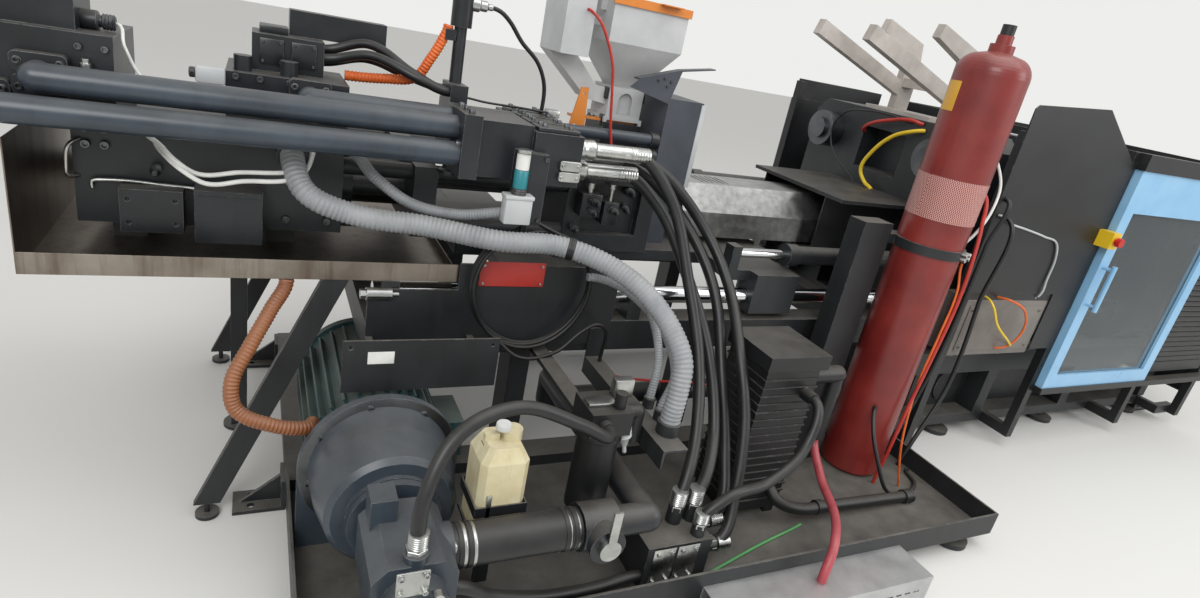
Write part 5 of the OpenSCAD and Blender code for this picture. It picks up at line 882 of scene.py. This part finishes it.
# Wires and thin hoses: route, diameter, finish, slot, body
thinRuns = {
    "hopperAirHose": ([[0, -1, 0], [0, 0, -1], [[-1215, 100, 1600], [-1186, 62, 1575], [-1145, 58, 1515],
                                                [-1110, 60, 1440], [-1096, 60, 1364], [-1076, 60, 1240],
                                                [-1057, 60, 1160], [-1056, 60, 1119]]], 0.010, "wireRed", "wire_red",
                      "carriage"),
    "mastLead": ([[1, 0, 0], [0, 0, -1], [[-1626, -60, 1546], [-1560, -58, 1543], [-1520, -45, 1520],
                                          [-1470, -30, 1469], [-1400, -10, 1413], [-1366, 0, 1350],
                                          [-1360, 5, 1263]]], 0.013, "cableBlack", "cable_black", "carriage"),
    "armLead": ([[0, 0, -1], [-1, 0, 0], [[-1700, -60, 1480], [-1712, -58, 1440], [-1740, -50, 1380],
                                          [-1775, -30, 1320], [-1850, 10, 1300], [-1960, 40, 1290]]], 0.030,
                "wireOrange", "wire_red", "carriage"),
    "mastRod": ([[1, 0, 0], [1, 0, 0], [[-1640, -40, 1285], [-1560, -40, 1278], [-1450, -40, 1276],
                                        [-1358, -42, 1273]]], 0.007, "cableBlack", "cable_black", "carriage"),
    "sensorLead": ([[1, 0, 0], [1, 0, 0], [[-2493, -60, 1346], [-2470, -110, 1300], [-2440, -120, 1240],
                                           [-2400, -120, 1205], [-2340, -110, 1200], [-2262, -98, 1215]]], 0.008,
                   "wireWhite", "cable_black", "carriage"),
    "sagLead1": ([[0, -1, 0], [1, 0, 0], [[-2440, -60, 1090], [-2400, -150, 1080], [-2368, -190, 1057],
                                          [-2320, -196, 1028], [-2225, -196, 1040], [-2107, -190, 1050],
                                          [-2060, -150, 1060], [-2030, -99, 1130]]], 0.012, "wireWhite",
                 "cable_black", "carriage"),
    "sagLead2": ([[0, -1, 0], [1, 0, 0], [[-2420, -60, 1070], [-2390, -160, 1058], [-2350, -205, 1035],
                                          [-2300, -210, 1008], [-2215, -212, 1022], [-2110, -206, 1032],
                                          [-2070, -170, 1048], [-2010, -99, 1132]]], 0.012, "wireWhite",
                 "cable_black", "carriage"),
    "blackLoopCable": ([[1, 0, -0.7], [0, 0, -1],
                        [[-1532, -316, 619], [-1440, -345, 555], [-1325, -350, 574], [-1240, -345, 645],
                         [-1190, -340, 665], [-1148, -330, 635], [-1138, -315, 560], [-1138, -310, 513]]], 0.0125,
                       "cableBlack", "cable_black", ("carriage", "frame")),
    "pilotHose": ([[0, 0, -1], [0, 1, 0], [[-1150, -300, 506], [-1120, -285, 470], [-1028, -270, 425],
                                           [-860, -262, 395], [-660, -260, 371], [-460, -262, 320], [-288, -265, 279],
                                           [-210, -245, 262], [-190, -209, 260], [-190, -138, 256]]], 0.009,
                  "wireRed", "wire_red", "frame"),
    "trayHose": ([[0, 0, -1], [0, 1, 0], [[-2110, -240, 766], [-2150, -300, 700], [-2200, -360, 620],
                                          [-2240, -400, 540], [-2230, -420, 470], [-2150, -440, 430],
                                          [-2060, -420, 400], [-2040, -380, 390]]], 0.040, "hoseBrown", "hose_rubber",
                 "frame"),
    "bottleLead": ([[1, 0, 0], [-1, 0, 0], [[148, -420, 1450], [185, -440, 1440], [236, -470, 1370],
                                            [262, -500, 1290], [240, -520, 1200], [190, -530, 1120],
                                            [150, -520, 1052], [120, -540, 1040]]], 0.010, "wireWhite", "cable_black",
                   "frame"),
    "bottleHose": ([[0, -1, 0], [0, 0, -1], [[185, -455, 1260], [186, -510, 1250], [180, -545, 1150],
                                             [165, -575, 1000], [150, -590, 850], [120, -595, 600], [90, -600, 400],
                                             [70, -605, 220], [60, -600, 69]]], 0.014, "wireRed", "wire_red",
                   "frame"),
    "bottleWires": ([[0, 0, -1], [0, 0, -1], [[150, -548, 1000], [146, -575, 900], [120, -590, 720], [110, -590, 560],
                                              [105, -600, 420], [110, -620, 260], [140, -640, 120], [160, -640, 69]]],
                    0.009, "wireOrange", "wire_red", "frame"),
    "coverLead": ([[1, 0, 0], [0, 1, -1], [[420, -433, 1168], [500, -433, 1140], [620, -433, 1120], [760, -433, 1095],
                                           [860, -433, 1070], [900, -433, 1000], [905, -433, 900], [906, -436, 850],
                                           [906, -426, 820], [906, -400, 800]]], 0.009, "boxGrey", "cable_black",
                  "frame"),
    "yellowLead": ([[-1, 0, 0], [0, 0, -1], [[419, 40, 1400], [385, 80, 1385], [368, 150, 1350], [362, 235, 1260],
                                             [368, 275, 1170], [382, 240, 1115], [384, 200, 1100], [384, 190, 1094]]],
                   0.018, "wireYellow", "yellow", "frame"),
    "greenLead": ([[-1, 0, 0], [0, 0, -1], [[419, 120, 1420], [375, 200, 1432], [350, 340, 1428], [342, 450, 1400],
                                            [340, 505, 1320], [345, 470, 1220], [360, 380, 1150], [372, 310, 1108],
                                            [374, 300, 1094]]], 0.008, "cableBlack", "cable_black", "frame"),
    "redLead": ([[-1, 0, 0], [1, 0, 0], [[419, 60, 1425], [385, 100, 1432], [370, 200, 1412], [372, 310, 1375],
                                         [392, 360, 1345], [419, 375, 1335]]], 0.016, "wireRed", "wire_red", "frame"),
    "boxWireYellow": ([[0, -1, 0], [0, 1, 0], [[560, -419, 816], [552, -466, 802], [600, -490, 720], [720, -490, 640],
                                               [800, -462, 600], [842, -423, 590]]], 0.010, "wireYellow", "yellow",
                      "frame"),
    "boxWireOrange": ([[0, -1, 0], [0, 1, 0], [[640, -419, 816], [650, -476, 822], [740, -496, 780], [800, -486, 680],
                                               [780, -462, 600], [752, -423, 575]]], 0.010, "wireOrange", "wire_red",
                      "frame"),
    "panCable1": ([[0, 0, -1], [1, 0, 0], [[-22, -548, 400], [-60, -605, 330], [-50, -670, 220], [0, -710, 120],
                                           [120, -710, 90], [240, -650, 80], [300, -560, 76]]], 0.016, "cableBlack",
                  "cable_black", "frame"),
}
ribbedRuns = {"names": ("armLead", "trayHose"), "rib": (0.010, 0.0022)}
for name, (route, diameter, colour, slot, body) in thinRuns.items():
    ribs = ribbedRuns["rib"] if name in ribbedRuns["names"] else None
    bodies = {"between": body} if isinstance(body, tuple) else {"body": body}
    runHose(name, route, diameter, sheaths[colour], slot, rib=ribs, sides=12 if diameter < 0.02 else 20, step=0.012,
            **bodies)
print("Wires run:", len(thinRuns))

# Pale floor, even daylight and a pale backdrop that only the camera sees
studio = {"floorHalf": 30, "floorLevel": -0.002, "floorHex": "d9d8d4", "floorRough": 0.75, "daylight": 0.72,
          "backdropHex": "eeeeec"}
half, level = studio["floorHalf"], studio["floorLevel"]
floorMesh = bpy.data.meshes.new("floor")
floorMesh.from_pydata([(x * half, y * half, level) for x, y in ((-1, -1), (1, -1), (1, 1), (-1, 1))], [],
                      [(0, 1, 2, 3)])
floor = bpy.data.objects.new("floor", floorMesh)
bpy.context.scene.collection.objects.link(floor)
floorMaterial = bpy.data.materials.new("paleFloor")
floorMaterial.use_nodes = True
floorMaterial.node_tree.nodes["Principled BSDF"].inputs["Base Color"].default_value = linear(studio["floorHex"])
floorMaterial.node_tree.nodes["Principled BSDF"].inputs["Roughness"].default_value = studio["floorRough"]
floorMesh.materials.append(floorMaterial)

world = bpy.data.worlds.new("studio")
bpy.context.scene.world = world
world.use_nodes = True
worldTree = world.node_tree
worldTree.nodes.clear()
ray = add(worldTree, "LightPath")
seen = add(worldTree, "Math", {"operation": "MAXIMUM"},
           {0: ray.outputs["Is Camera Ray"], 1: ray.outputs["Is Transmission Ray"]})
lit = add(worldTree, "Background", {"Color": (1, 1, 1, 1), "Strength": studio["daylight"]})
backdrop = add(worldTree, "Background", {"Color": linear(studio["backdropHex"]), "Strength": 1.0})
either = add(worldTree, "MixShader", {}, {0: seen.outputs["Value"], 1: lit.outputs["Background"],
                                          2: backdrop.outputs["Background"]})
add(worldTree, "OutputWorld", {}, {"Surface": either.outputs["Shader"]})

lamps = {
    "key": {"kind": "AREA", "place": (-4.2, -4.6, 4.6), "aim": (-0.8, 0, 0.8), "power": 180, "size": 3.0},
    "top": {"kind": "AREA", "place": (0.6, -1.2, 4.8), "aim": (0.2, 0.2, 0.8), "power": 105, "size": 4.0},
    "rim": {"kind": "AREA", "place": (4.0, -4.0, 3.2), "aim": (0.5, 0, 0.8), "power": 75, "size": 2.5},
}
for name, lamp in lamps.items():
    data = bpy.data.lights.new(name, lamp["kind"])
    data.energy, data.size = lamp["power"], lamp["size"]
    light = bpy.data.objects.new(name, data)
    bpy.context.scene.collection.objects.link(light)
    light.location = lamp["place"]
    light.rotation_euler = (Vector(lamp["aim"]) - Vector(lamp["place"])).to_track_quat("-Z", "Y").to_euler()
bpy.context.scene.view_settings.view_transform = "Standard"
print("Floor, world and lamps set")
